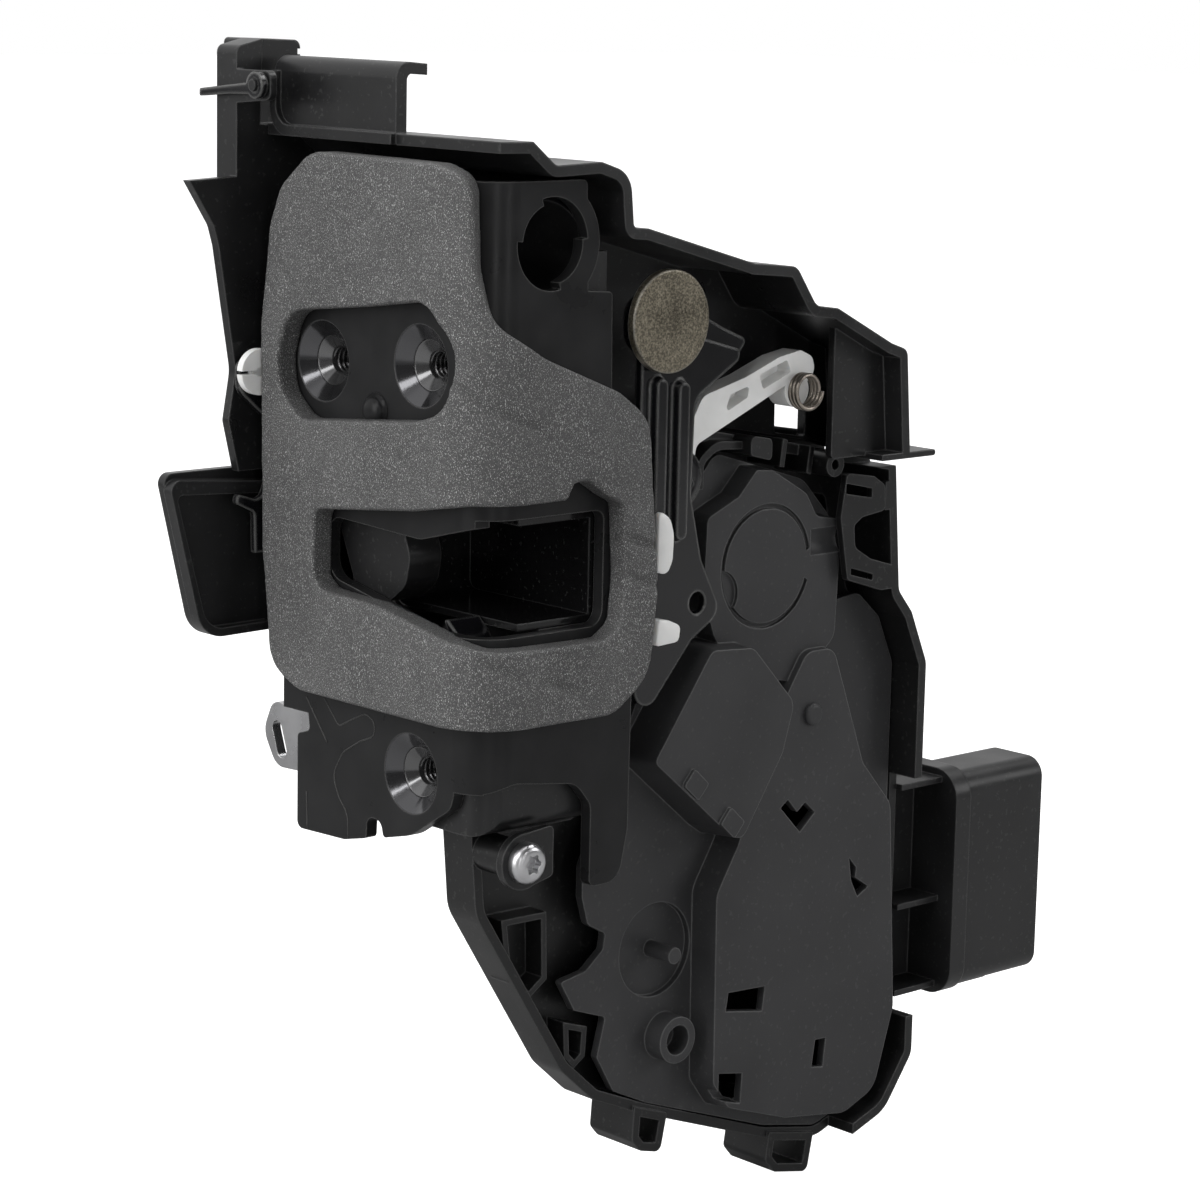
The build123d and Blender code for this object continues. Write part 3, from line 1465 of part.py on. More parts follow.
with BuildPart() as side_wall:
    with BuildSketch(cabin_plane(shield_back_y)):
        outline(
            (-21.6, 104.1),
            (-11.1, 104.6),
            (-11.1, 114.0),
            (3.5, 114.0),
            (8.8, 109.8, 2.0),
            (19.5, 110.2, 2.0),
            (26.5, 108.0, 6.0),
            (27.5, 98.4),
            (40.0, 95.5, 2.0),
            (40.0, 62.0, 6.0),
            (28.0, 50.3, 4.0),
            (-10.5, 50.3),
            (-12.8, 59.8, 2.0),
            (-11.2, 69.0, 8.0),
            (-15.1, 92.1, 6.0),
            (-16.2, 95.8, 4.0),
        )
    extrude(amount=-shield_t)
    with BuildSketch(cabin_plane(shield_back_y)):
        outline((pillar_x, 128.0, 1.5), (-5.2, 129.4), (-6.1, 104.0), (-7.0, 96.0), (pillar_x, 104.2))
    extrude(amount=-6.0)
    with BuildSketch(cabin_plane(shield_back_y + shield_t)):
        outline((-6.2, 129.4, 1.0), (4.9, 129.1, 1.5), (4.9, 104.0), (-6.4, 100.0))
    extrude(amount=-8.5)
    for i in range(3):
        with BuildSketch(cabin_plane(shield_back_y)):
            with Locations((5.2, 127.0 - 3.0 * i)):
                Rectangle(1.8, 1.0)
        extrude(amount=-12.0, mode=Mode.SUBTRACT)
    with along_y(housing_edge_y, [(20.0, 78.0), (20.0, 62.0)]):
        Cylinder(3.0, shield_back_y - housing_edge_y, align=base_align)
    # Ear and pin of the child lock's lever
    with BuildSketch(Plane.YZ.offset(pillar_x)):
        outline(
            (child_y - 2.6, child_z - 2.6, 1.5),
            (shield_back_y + 2.0, child_z - 3.6),
            (shield_back_y + 2.0, child_z + 2.6),
            (child_y - 2.6, child_z + 2.6, 1.5),
        )
    extrude(amount=1.5)
    with along_x(child_x - child_t - 0.6, [(child_y, child_z)]):
        Cylinder(child_pin_r - pin_gap, pillar_x - child_x + child_t + 1.0, align=base_align)
save(side_wall, "side_wall")

# Flap below the wing: a shallow pan with a rim, held on the back of the side wall
with BuildPart() as outer_flap:
    with BuildSketch(cabin_plane(shield_far_y)):
        outline(
            (-26.4, 50.8, 2.0),
            (-5.0, 50.8),
            (-5.0, 62.0, 2.0),
            (18.0, 62.0, 2.0),
            (18.0, 20.0, 3.0),
            (-18.8, 19.6, 6.0),
        )
    extrude(amount=-shield_t)
    with BuildSketch(cabin_plane(outer_lever_y + outer_lever_t + gap)):
        outline((-26.4, 49.9, 2.0), (-3.6, 48.0), (-3.0, 19.8), (-18.8, 19.6, 6.0))
        with BuildSketch(mode=Mode.PRIVATE) as pan:
            outline((-24.6, 47.0, 1.0), (-1.0, 45.6), (-1.0, 21.4), (-17.6, 21.2, 5.0))
        add(pan.sketch, mode=Mode.SUBTRACT)
    extrude(amount=-(shield_far_y - outer_lever_y - outer_lever_t))
save(outer_flap, "outer_flap")

# Outer lever on the side of the housing, with the clip for the handle's rod
with BuildPart() as outer_lever:
    with BuildSketch(cabin_plane(outer_lever_y)):
        outline(
            (clip_x - 3.5, clip_z + 3.5, 3.0),
            (clip_x - 3.5, clip_z - 3.5, 3.0),
            (outer_pin_x - 8.0, outer_pin_z - 1.0, 3.0),
            (-6.6, 44.6, 2.0),
            (-12.0, 46.4, 0.8),
            (-12.4, 44.6, 0.8),
            (-8.2, 42.6, 1.0),
            (-8.0, 35.0),
            (-5.0, 35.0),
            (-4.6, 43.0, 2.0),
            (outer_pin_x + 5.0, outer_pin_z - 5.0, 4.0),
            (outer_pin_x + 5.0, outer_pin_z + 5.0, 4.0),
        )
        with Locations((outer_pin_x, outer_pin_z)):
            Circle(outer_pin_r, mode=Mode.SUBTRACT)
        with Locations((clip_x, clip_z)):
            Circle(clip_pin_r, mode=Mode.SUBTRACT)
    extrude(amount=-outer_lever_t)
save(outer_lever, "outer_lever")

with BuildPart() as rod_clip:
    with along_y(outer_lever_y - 1.0, [(clip_x, clip_z)]):
        Cylinder(clip_pin_r - pin_gap, outer_lever_t + 1.2, align=base_align)
    with BuildSketch(cabin_plane(outer_lever_y - 1.8)):
        with Locations((clip_x, clip_z)):
            Circle(clip_r)
            Circle(1.0, mode=Mode.SUBTRACT)
        with Locations((clip_x - clip_r / 2 - 0.4, clip_z)):
            Rectangle(clip_r, 0.7, mode=Mode.SUBTRACT)
    extrude(amount=-1.6)
save(rod_clip, "rod_clip")

# Child lock's lever: a thin arm that reaches past the pillar
with BuildPart() as child_lock_lever:
    with BuildSketch(Plane.YZ.offset(child_x - child_t)):
        with Locations((child_y, child_z)):
            Circle(2.4)
        outline(
            (child_y, child_z - 1.6),
            (child_y, child_z + 0.6),
            (43.0, 121.2, 4.0),
            (52.0, 120.2, 0.4),
            (52.0, 118.8, 0.4),
            (43.0, 119.6, 4.0),
        )
        with Locations((child_y, child_z)):
            Circle(child_pin_r, mode=Mode.SUBTRACT)
    extrude(amount=child_t)
save(child_lock_lever, "child_lock_lever")
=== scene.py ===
# Door latch with its lock actuator, dressed round the fixed frame. Metres; mm below is one millimetre.
import bmesh
import bpy
import math
from mathutils import Matrix, Vector, noise


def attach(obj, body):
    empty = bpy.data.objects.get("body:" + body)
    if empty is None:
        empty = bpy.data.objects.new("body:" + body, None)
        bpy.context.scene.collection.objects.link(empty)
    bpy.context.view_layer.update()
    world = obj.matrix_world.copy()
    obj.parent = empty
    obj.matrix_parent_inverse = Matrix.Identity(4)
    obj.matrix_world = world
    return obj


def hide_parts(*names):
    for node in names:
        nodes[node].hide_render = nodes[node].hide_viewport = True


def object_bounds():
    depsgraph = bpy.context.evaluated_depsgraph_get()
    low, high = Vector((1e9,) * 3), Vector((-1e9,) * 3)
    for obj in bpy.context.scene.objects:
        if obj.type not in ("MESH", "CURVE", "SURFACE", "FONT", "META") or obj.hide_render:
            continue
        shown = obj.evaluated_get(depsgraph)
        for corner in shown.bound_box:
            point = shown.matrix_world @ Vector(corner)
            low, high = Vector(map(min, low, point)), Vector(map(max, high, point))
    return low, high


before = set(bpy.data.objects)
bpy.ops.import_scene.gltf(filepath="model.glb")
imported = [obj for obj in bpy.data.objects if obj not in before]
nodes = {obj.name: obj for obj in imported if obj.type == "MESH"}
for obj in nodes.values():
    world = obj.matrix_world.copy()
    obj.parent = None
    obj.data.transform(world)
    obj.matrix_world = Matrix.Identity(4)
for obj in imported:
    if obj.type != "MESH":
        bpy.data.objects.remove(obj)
cadLow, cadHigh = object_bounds()
mm = 0.001
print("frame loaded:", len(nodes), "nodes")


# Shader helpers
def newMaterial(name):
    mat = bpy.data.materials.new(name)
    mat.use_nodes = True
    tree = mat.node_tree
    shader = tree.nodes["Principled BSDF"]
    place = tree.nodes.new("ShaderNodeTexCoord").outputs["Object"]
    return mat, tree, shader, place


def grain(tree, place, size, detail=3.0, stretch=None):
    # noise whose blobs are about `size` metres wide
    tex = tree.nodes.new("ShaderNodeTexNoise")
    tex.inputs["Scale"].default_value = 1.0 / size
    tex.inputs["Detail"].default_value = detail
    if stretch:
        mapping = tree.nodes.new("ShaderNodeMapping")
        mapping.inputs["Scale"].default_value = stretch
        tree.links.new(place, mapping.inputs["Vector"])
        place = mapping.outputs["Vector"]
    tree.links.new(place, tex.inputs["Vector"])
    return tex.outputs["Fac"]


def ramp(tree, fac, stops):
    node = tree.nodes.new("ShaderNodeValToRGB")
    while len(node.color_ramp.elements) < len(stops):
        node.color_ramp.elements.new(0.5)
    for element, (at, colour) in zip(node.color_ramp.elements, stops):
        element.position = at
        element.color = (*colour, 1.0)
    tree.links.new(fac, node.inputs["Fac"])
    return node.outputs["Color"]


# Noise mostly stays between these two
noiseLow, noiseHigh = 0.3, 0.7


def spread(tree, fac, low, high):
    # the noise's range spread from low to high
    node = tree.nodes.new("ShaderNodeMapRange")
    node.inputs["From Min"].default_value = noiseLow
    node.inputs["From Max"].default_value = noiseHigh
    node.inputs["To Min"].default_value = low
    node.inputs["To Max"].default_value = high
    tree.links.new(fac, node.inputs["Value"])
    return node.outputs["Result"]


# Rays of the rounding, and how well its normal agrees with the true one on a flat and on an edge
rounding = dict(samples=4, flat=0.995, edge=0.80)


def softEdge(tree, radius):
    # rounded-over normal, and how much it turns away from the true one: 1 on an edge, 0 on a flat
    bevel = tree.nodes.new("ShaderNodeBevel")
    bevel.samples = rounding["samples"]
    bevel.inputs["Radius"].default_value = radius
    geometry = tree.nodes.new("ShaderNodeNewGeometry")
    dot = tree.nodes.new("ShaderNodeVectorMath")
    dot.operation = "DOT_PRODUCT"
    tree.links.new(bevel.outputs["Normal"], dot.inputs[0])
    tree.links.new(geometry.outputs["Normal"], dot.inputs[1])
    turned = tree.nodes.new("ShaderNodeMapRange")
    turned.inputs["From Min"].default_value = rounding["flat"]
    turned.inputs["From Max"].default_value = rounding["edge"]
    tree.links.new(dot.outputs["Value"], turned.inputs["Value"])
    return bevel.outputs["Normal"], turned.outputs["Result"]


def blendColour(tree, fac, low, high):
    node = tree.nodes.new("ShaderNodeMix")
    node.data_type = "RGBA"
    for value, socket in ((fac, "Factor"), (low, "A"), (high, "B")):
        if isinstance(value, tuple):
            node.inputs[socket].default_value = (*value, 1.0)
        elif isinstance(value, float):
            node.inputs[socket].default_value = value
        else:
            tree.links.new(value, node.inputs[socket])
    return node.outputs["Result"]


def times(tree, a, b):
    node = tree.nodes.new("ShaderNodeMath")
    node.operation = "MULTIPLY"
    for value, socket in ((a, node.inputs[0]), (b, node.inputs[1])):
        if isinstance(value, float):
            socket.default_value = value
        else:
            tree.links.new(value, socket)
    return node.outputs["Value"]


def bump(tree, shader, heights, normal=None):
    # heights: list of (output, strength, depth in metres), stacked on the given normal
    for out, strength, depth in heights:
        node = tree.nodes.new("ShaderNodeBump")
        node.inputs["Strength"].default_value = strength
        node.inputs["Distance"].default_value = depth
        tree.links.new(out, node.inputs["Height"])
        if normal:
            tree.links.new(normal, node.inputs["Normal"])
        normal = node.outputs["Normal"]
    tree.links.new(normal, shader.inputs["Normal"])


# Moulded plastics: dark colour, spark-eroded grain, edges painted lighter as wear and a painted highlight,
# and faint dust. Sizes in mm
mouldings = {
    # edge is the colour painted on the rounded edges: wear, and a painted highlight
    "housingPlastic": dict(dark=0.008, pale=0.014, rough=(0.28, 0.42), edge=0.08,
                           grainSize=0.35, grainDepth=0.010),
    "trayPlastic": dict(dark=0.005, pale=0.010, rough=(0.34, 0.48), edge=0.11,
                        grainSize=0.40, grainDepth=0.012),
    "coverPlastic": dict(dark=0.024, pale=0.036, rough=(0.42, 0.58), edge=0.17,
                         grainSize=0.45, grainDepth=0.022),
    "shieldPlastic": dict(dark=0.008, pale=0.014, rough=(0.26, 0.40), edge=0.10,
                          grainSize=0.50, grainDepth=0.012),
    "tubPlastic": dict(dark=0.004, pale=0.007, rough=(0.08, 0.16), edge=0.03,
                       grainSize=1.50, grainDepth=0.004),
    "connectorPlastic": dict(dark=0.010, pale=0.017, rough=(0.34, 0.48), edge=0.07,
                             grainSize=0.40, grainDepth=0.012),
}
# the edge weight sets how much of the painted highlight and wear goes on the edges
moulding = dict(shine=0.34, darkBlue=1.05, paleBlue=1.04, cloudSize=18 * mm, cloudBump=(0.15, 0.05 * mm),
                grainBump=0.6, edgeRadius=0.45 * mm, edgeWearAndHighlight=0.85, dust=0.10, dustSize=0.9 * mm,
                dustSpread=(-9.0, 1.0), dustColour=(0.16, 0.16, 0.155))


def mouldedPlastic(name):
    look = mouldings[name]
    mat, tree, shader, place = newMaterial(name)
    cloud = grain(tree, place, moulding["cloudSize"], detail=4.0)
    fine = grain(tree, place, look["grainSize"] * mm, detail=2.0)
    normal, edge = softEdge(tree, moulding["edgeRadius"])
    dark, pale, rimWearAndHighlight = look["dark"], look["pale"], look["edge"]
    colour = ramp(tree, cloud, [(noiseLow, (dark, dark, dark * moulding["darkBlue"])),
                                (noiseHigh, (pale, pale, pale * moulding["paleBlue"]))])
    # painted highlight: the edges lifted towards the edge colour, with some wear
    wornWithHighlight = blendColour(tree, times(tree, edge, moulding["edgeWearAndHighlight"]), colour, (rimWearAndHighlight, rimWearAndHighlight, rimWearAndHighlight))
    specks = spread(tree, grain(tree, place, moulding["dustSize"], detail=1.0), *moulding["dustSpread"])
    dusty = blendColour(tree, times(tree, specks, moulding["dust"]), wornWithHighlight, moulding["dustColour"])
    tree.links.new(dusty, shader.inputs["Base Color"])
    tree.links.new(spread(tree, cloud, *look["rough"]), shader.inputs["Roughness"])
    shader.inputs["Specular IOR Level"].default_value = moulding["shine"]
    bump(tree, shader, [(cloud, *moulding["cloudBump"]),
                        (fine, moulding["grainBump"], look["grainDepth"] * mm)], normal)
    return mat


# Sheet metals: coated or bare, with rolling direction, and edges painted lighter as wear and a painted
# highlight. Sizes in mm
metals = {
    # edge is the colour painted on the rounded edges: wear, and a painted highlight
    "coatedSteel": dict(colour=(0.015, 0.015, 0.0155), metal=0.0, rough=(0.26, 0.38), edge=0.20,
                        size=0.5, depth=0.010, round=0.35, shine=0.14),
    "bushSteel": dict(colour=(0.13, 0.13, 0.132), metal=0.8, rough=(0.10, 0.18), edge=0.14,
                      size=0.6, depth=0.003),
    "bracketSteel": dict(colour=(0.005, 0.005, 0.006), metal=0.0, rough=(0.07, 0.13), edge=0.26,
                         size=1.2, depth=0.006, round=0.9, shine=0.45, wave=0.16),
    "bareSteel": dict(colour=(0.42, 0.41, 0.40), metal=1.0, rough=(0.26, 0.42), edge=0.60,
                      size=0.3, depth=0.004),
    "zincSteel": dict(colour=(0.46, 0.46, 0.47), metal=1.0, rough=(0.22, 0.36), edge=0.70,
                      size=0.5, depth=0.006),
    "springSteel": dict(colour=(0.26, 0.23, 0.20), metal=1.0, rough=(0.26, 0.38), edge=0.40,
                        size=0.2, depth=0.003),
    "oliveZinc": dict(colour=(0.092, 0.082, 0.062), metal=0.80, rough=(0.26, 0.50), edge=0.95,
                      size=0.34, depth=0.060, round=0.45, mottle=3.4, wave=0.10),
    "copperStrip": dict(colour=(0.72, 0.42, 0.25), metal=1.0, rough=(0.25, 0.40), edge=0.70,
                        size=0.3, depth=0.003),
    "tinnedBlade": dict(colour=(0.62, 0.60, 0.55), metal=1.0, rough=(0.22, 0.34), edge=0.70,
                        size=0.3, depth=0.003),
}
plainSheet = dict(round=0.25, shine=0.5, wave=0.03)  # what a metal has where it doesn't say
# the edge weight and tint set the painted highlight and wear on the edges
sheet = dict(cloudSize=9 * mm, cloudTones=((0.25, 0.8), (0.75, 1.25)), cloudBump=0.4, grainBump=0.5,
             rolling=(1.0, 1.0, 0.35), mottleSpread=(-0.3, 0.9), edgeWearAndHighlight=0.6, edgeBlue=0.97)

# Fixing holes as (Y, Z), and the coined mouth round each
fixingSpots = [(26.1 * mm, 72.1 * mm), (-1.6 * mm, 73.9 * mm), (0.0, 0.0)]
dimple = dict(mouth=7.45 * mm, soft=0.25 * mm, boreEnd=8.0 * mm, cover=0.9, colour=(0.11, 0.11, 0.115),
              rough=0.11)


def mixed(tree, fac, low, high):
    # low where fac is 0, high where it is 1
    node = tree.nodes.new("ShaderNodeMix")
    for value, socket in ((fac, 0), (low, 2), (high, 3)):
        if isinstance(value, float):
            node.inputs[socket].default_value = value
        else:
            tree.links.new(value, node.inputs[socket])
    return node.outputs[0]


def larger(tree, a, b):
    node = tree.nodes.new("ShaderNodeMath")
    node.operation = "MAXIMUM"
    tree.links.new(a, node.inputs[0])
    tree.links.new(b, node.inputs[1])
    return node.outputs[0]


def dimpleMask(tree, place):
    # 1 inside the mouths of the three fixing holes, seen along X
    flat = tree.nodes.new("ShaderNodeVectorMath")
    flat.operation = "MULTIPLY"
    flat.inputs[1].default_value = (0.0, 1.0, 1.0)
    tree.links.new(place, flat.inputs[0])
    mask = None
    for y, z in fixingSpots:
        off = tree.nodes.new("ShaderNodeVectorMath")
        off.operation = "DISTANCE"
        off.inputs[1].default_value = (0.0, y, z)
        tree.links.new(flat.outputs["Vector"], off.inputs[0])
        near = tree.nodes.new("ShaderNodeMapRange")
        near.inputs["From Min"].default_value = dimple["mouth"]
        near.inputs["From Max"].default_value = dimple["mouth"] - dimple["soft"]
        tree.links.new(off.outputs["Value"], near.inputs["Value"])
        mask = larger(tree, mask, near.outputs["Result"]) if mask else near.outputs["Result"]
    return mask


def sheetMetal(name):
    look = {**plainSheet, **metals[name]}
    mat, tree, shader, place = newMaterial(name)
    cloud = grain(tree, place, sheet["cloudSize"], detail=5.0)
    fine = grain(tree, place, look["size"] * mm, detail=3.0, stretch=sheet["rolling"])
    normal, edge = softEdge(tree, look["round"] * mm)
    r, g, b = look["colour"]
    rimWearAndHighlight = look["edge"]
    colour = ramp(tree, cloud, [(at, (r * tone, g * tone, b * tone)) for at, tone in sheet["cloudTones"]])
    if "mottle" in look:
        # passivated zinc: fine lighter speckle over the cloudy film
        lift = look["mottle"]
        speck = spread(tree, grain(tree, place, look["size"] * mm, detail=5.0), *sheet["mottleSpread"])
        colour = blendColour(tree, speck, colour, (r * lift, g * lift, b * lift))
    # painted highlight: the edges lifted towards the edge colour, with wear on the bare metals
    wearAndHighlightShare = times(tree, edge, sheet["edgeWearAndHighlight"])
    wornWithHighlight = blendColour(tree, wearAndHighlightShare, colour, (rimWearAndHighlight, rimWearAndHighlight, rimWearAndHighlight * sheet["edgeBlue"]))
    rough = spread(tree, cloud, *look["rough"])
    shader.inputs["Specular IOR Level"].default_value = look["shine"]
    shader.inputs["Metallic"].default_value = look["metal"]
    if name == "coatedSteel":
        # the dimples are coined smooth, and shine against the satin plate
        coined = times(tree, dimpleMask(tree, place), dimple["cover"])
        wornWithHighlight = blendColour(tree, coined, wornWithHighlight, dimple["colour"])
        rough = mixed(tree, coined, rough, dimple["rough"])
        tree.links.new(coined, shader.inputs["Metallic"])
    tree.links.new(wornWithHighlight, shader.inputs["Base Color"])
    tree.links.new(rough, shader.inputs["Roughness"])
    bump(tree, shader, [(cloud, sheet["cloudBump"], look["wave"] * mm),
                        (fine, sheet["grainBump"], look["depth"] * mm)], normal)
    return mat


# Natural nylon: milky, with light that soaks in a little
nylon = dict(dark=(0.72, 0.72, 0.71), pale=(0.82, 0.82, 0.81), rough=(0.34, 0.46),
             cloudSize=7 * mm, cloudBump=(0.2, 0.08 * mm), grainSize=0.5 * mm, grainBump=(0.4, 0.008 * mm),
             soak=0.25, soakDepth=(1.2 * mm, 1.1 * mm, 1.0 * mm))


def nylonWhite():
    mat, tree, shader, place = newMaterial("nylonWhite")
    cloud = grain(tree, place, nylon["cloudSize"], detail=3.0)
    fine = grain(tree, place, nylon["grainSize"], detail=2.0)
    colour = ramp(tree, cloud, [(noiseLow, nylon["dark"]), (noiseHigh, nylon["pale"])])
    tree.links.new(colour, shader.inputs["Base Color"])
    tree.links.new(spread(tree, cloud, *nylon["rough"]), shader.inputs["Roughness"])
    shader.inputs["Subsurface Weight"].default_value = nylon["soak"]
    shader.inputs["Subsurface Radius"].default_value = nylon["soakDepth"]
    shader.inputs["Subsurface Scale"].default_value = 1.0
    bump(tree, shader, [(cloud, *nylon["cloudBump"]), (fine, *nylon["grainBump"])])
    return mat


# Foam: charcoal skin of closed cells, mottled, with painted shade in the pits and short bright flecks, a
# painted highlight where cells catch the light
fleece = dict(dark=0.051, pale=0.077, rough=(0.62, 0.40), shine=0.5, cloudSize=14 * mm,
              cellSize=0.28 * mm, cellBump=(0.6, 0.14 * mm),
              pitSize=0.42 * mm, pitBump=(0.8, 0.14 * mm), pitShadeCover=0.45, pitShadeTone=0.45,
              fleckSize=0.15 * mm, fleckBump=(0.9, 0.12 * mm), fleckStretch=(1.0, 1.0, 0.55),
              fleckFrom=0.57, fleckTo=0.67, fleckColour=(0.46, 0.46, 0.46 * 0.99))


def foamSkin():
    mat, tree, shader, place = newMaterial("foamSkin")
    cloud = grain(tree, place, fleece["cloudSize"], detail=4.0)
    cells = tree.nodes.new("ShaderNodeTexVoronoi")
    cells.inputs["Scale"].default_value = 1.0 / fleece["cellSize"]
    tree.links.new(place, cells.inputs["Vector"])
    pits = grain(tree, place, fleece["pitSize"], detail=5.0)
    flecks = grain(tree, place, fleece["fleckSize"], detail=6.0, stretch=fleece["fleckStretch"])
    dark, pale = fleece["dark"], fleece["pale"]
    pitShade = dark * fleece["pitShadeTone"]
    base = ramp(tree, cloud, [(noiseLow, (dark, dark, dark)), (noiseHigh, (pale, pale, pale))])
    # painted shade: darker where the pit noise is low, in the hollows of its bump
    pitShaded = blendColour(tree, spread(tree, pits, fleece["pitShadeCover"], 0.0), base, (pitShade, pitShade, pitShade))
    bright = ramp(tree, flecks, [(fleece["fleckFrom"], (0, 0, 0)), (fleece["fleckTo"], (1, 1, 1))])
    lit = blendColour(tree, bright, pitShaded, fleece["fleckColour"])
    tree.links.new(lit, shader.inputs["Base Color"])
    tree.links.new(spread(tree, flecks, *fleece["rough"]), shader.inputs["Roughness"])
    shader.inputs["Specular IOR Level"].default_value = fleece["shine"]
    bump(tree, shader, [(cells.outputs["Distance"], *fleece["cellBump"]),
                        (pits, *fleece["pitBump"]), (flecks, *fleece["fleckBump"])])
    return mat


# Which finish each node gets
finishes = {
    "coatedSteel": ["face_plate"],
    "bushSteel": ["fixing_bushes"],
    "bracketSteel": ["linkage_bracket", "outside_release_lever", "outer_lever", "child_lock_lever", "pawl"],
    "bareSteel": ["fork_pivot", "pawl_pivot", "back_plate", "worm", "lock_motor"],
    "zincSteel": ["release_lever", "tube_screw"],
    "springSteel": ["fork_spring", "toggle_spring"],
    "oliveZinc": ["inertia_disc"],
    "copperStrip": ["lead_frame"],
    "tinnedBlade": ["connector_pins"],
    "housingPlastic": ["latch_housing", "fork_bolt"],
    "trayPlastic": ["actuator_base"],
    "coverPlastic": ["actuator_cover", "lock_switches", "cover_rivet"],
    "shieldPlastic": ["upper_shield", "side_wall", "outer_flap"],
    "tubPlastic": ["throat_insert"],
    "connectorPlastic": ["connector_shroud"],
    "nylonWhite": ["link_lever", "lock_lever", "worm_wheel", "rod_clip"],
}
materials = {name: mouldedPlastic(name) for name in mouldings}
materials.update({name: sheetMetal(name) for name in metals})
materials["nylonWhite"] = nylonWhite()
materials["foamSkin"] = foamSkin()


def dress(obj, finish):
    obj.data.materials.clear()
    obj.data.materials.append(materials[finish])


for finish, names in finishes.items():
    for name in names:
        if name in nodes:
            dress(nodes[name], finish)
dressed = [name for names in finishes.values() for name in names]
print("nodes with no finish:", [name for name in nodes if name not in dressed and name != "foam_seal"])
print("finishes made:", len(materials))


def scaled(corners):
    # a drawing in mm to metres
    return [tuple(c * mm for c in corner) for corner in corners]


# Arcs at the corners of a drawing: step along them, the share of a side each may take, the least cut,
# the half angle from which a corner counts as straight, and the steps of a run with no corner
arcs = dict(step=0.35 * mm, share=0.46, least=0.05 * mm, straight=1.56, runSteps=8)


def roundedLoop(corners):
    # closed loop with rounded corners, from (u, v) or (u, v, radius)
    points = []
    count = len(corners)
    for i, corner in enumerate(corners):
        here = Vector(corner[:2])
        radius = corner[2] if len(corner) == 3 else 0.0
        back = Vector(corners[i - 1][:2]) - here
        ahead = Vector(corners[(i + 1) % count][:2]) - here
        half = back.angle(ahead) / 2
        wanted = radius / math.tan(half) if half < arcs["straight"] else 0.0
        cut = min(wanted, arcs["share"] * back.length, arcs["share"] * ahead.length)
        if cut < arcs["least"]:
            points.append(here)
            continue
        radius = cut * math.tan(half)
        centre = here + (back.normalized() + ahead.normalized()).normalized() * (radius / math.sin(half))
        start = here + back.normalized() * cut - centre
        turn = start.angle_signed(here + ahead.normalized() * cut - centre)
        steps = max(2, int(abs(turn) * radius / arcs["step"]))
        for k in range(steps + 1):
            points.append(centre + Matrix.Rotation(-turn * k / steps, 2) @ start)
    return points


def roundedPath(corners):
    # open run with rounded corners: the closed loop's arcs, without the way back
    ends = [Vector(corners[0][:2]), Vector(corners[-1][:2])]
    if len(corners) == 2:
        steps = arcs["runSteps"]
        return [ends[0].lerp(ends[1], k / steps) for k in range(steps + 1)]
    return [ends[0]] + roundedLoop(corners)[1:-1] + [ends[1]]


def filledSlab(name, loops, thickness, edge, voxel):
    # a 2D curve with holes, thickened and with rolled edges, then meshed evenly
    curve = bpy.data.curves.new(name, "CURVE")
    curve.dimensions = "2D"
    curve.fill_mode = "BOTH"
    curve.extrude = thickness / 2 - edge
    curve.bevel_depth = edge
    curve.bevel_resolution = 4
    curve.offset = -edge
    for loop in loops:
        spline = curve.splines.new("POLY")
        spline.points.add(len(loop) - 1)
        for point, spot in zip(spline.points, loop):
            point.co = (spot[0], spot[1], 0.0, 1.0)
        spline.use_cyclic_u = True
    holder = bpy.data.objects.new(name, curve)
    bpy.context.collection.objects.link(holder)
    remesh = holder.modifiers.new("even", "REMESH")
    remesh.mode = "VOXEL"
    remesh.voxel_size = voxel
    bpy.context.view_layer.update()
    mesh = bpy.data.meshes.new_from_object(holder.evaluated_get(bpy.context.evaluated_depsgraph_get()))
    bpy.data.objects.remove(holder)
    obj = bpy.data.objects.new(name, mesh)
    bpy.context.collection.objects.link(obj)
    return obj


# Foam seal: drawn flat in mm as (distance round the corner, height, radius of the turn), then folded
foam = dict(thick=5.0 * mm, face=-9.0 * mm, side=-24.0 * mm, midRadius=10.0 * mm, edge=0.4 * mm,
            voxel=0.5 * mm, waveSize=16 * mm, waveDepth=0.22 * mm, skinSize=1.6 * mm, skinDepth=0.07 * mm,
            sink=0.15 * mm)
foamEdge = [
    (-39.0, 11.4, 7), (-47.2, 15.0, 8), (-49.6, 36.0, 20), (-50.4, 78.0, 20), (-47.8, 96.5, 14),
    (-44.6, 103.5, 8), (-36.0, 110.2, 9), (-1.5, 109.9, 5), (5.6, 108.0, 6), (6.3, 92.0, 10),
    (9.0, 82.8, 9), (17.3, 77.0, 20), (36.0, 69.6, 9), (43.2, 64.5, 8), (45.2, 45.0, 20),
    (46.3, 33.0, 14), (44.6, 17.5, 10), (36.0, 11.3, 8),
]
foamWindow = [
    (-45.4, 72.2, 6), (-42.6, 81.0, 7), (-20.3, 83.6, 20), (-3.6, 86.0, 6), (4.2, 78.5, 8),
    (1.2, 66.8, 8), (-6.0, 64.8, 6), (-38.6, 61.6, 6), (-44.6, 66.2, 6),
]
foamSlot = [
    (-34.4, 43.6, 2.4), (-33.4, 45.8, 1.5), (-29.9, 46.2, 2), (-6.0, 48.9, 8), (6.0, 51.2, 4),
    (23.9, 51.4, 0.8), (25.4, 54.2, 0.8), (28.6, 54.5, 1), (33.7, 51.2, 1), (37.3, 49.4, 1.5),
    (38.3, 36.0, 4), (37.4, 27.6, 2.5), (33.8, 25.2, 2), (9.0, 25.6, 6), (-3.0, 28.4, 6),
    (-16.8, 30.6, 4), (-31.6, 31.1, 2), (-34.5, 33.0, 1.5),
]
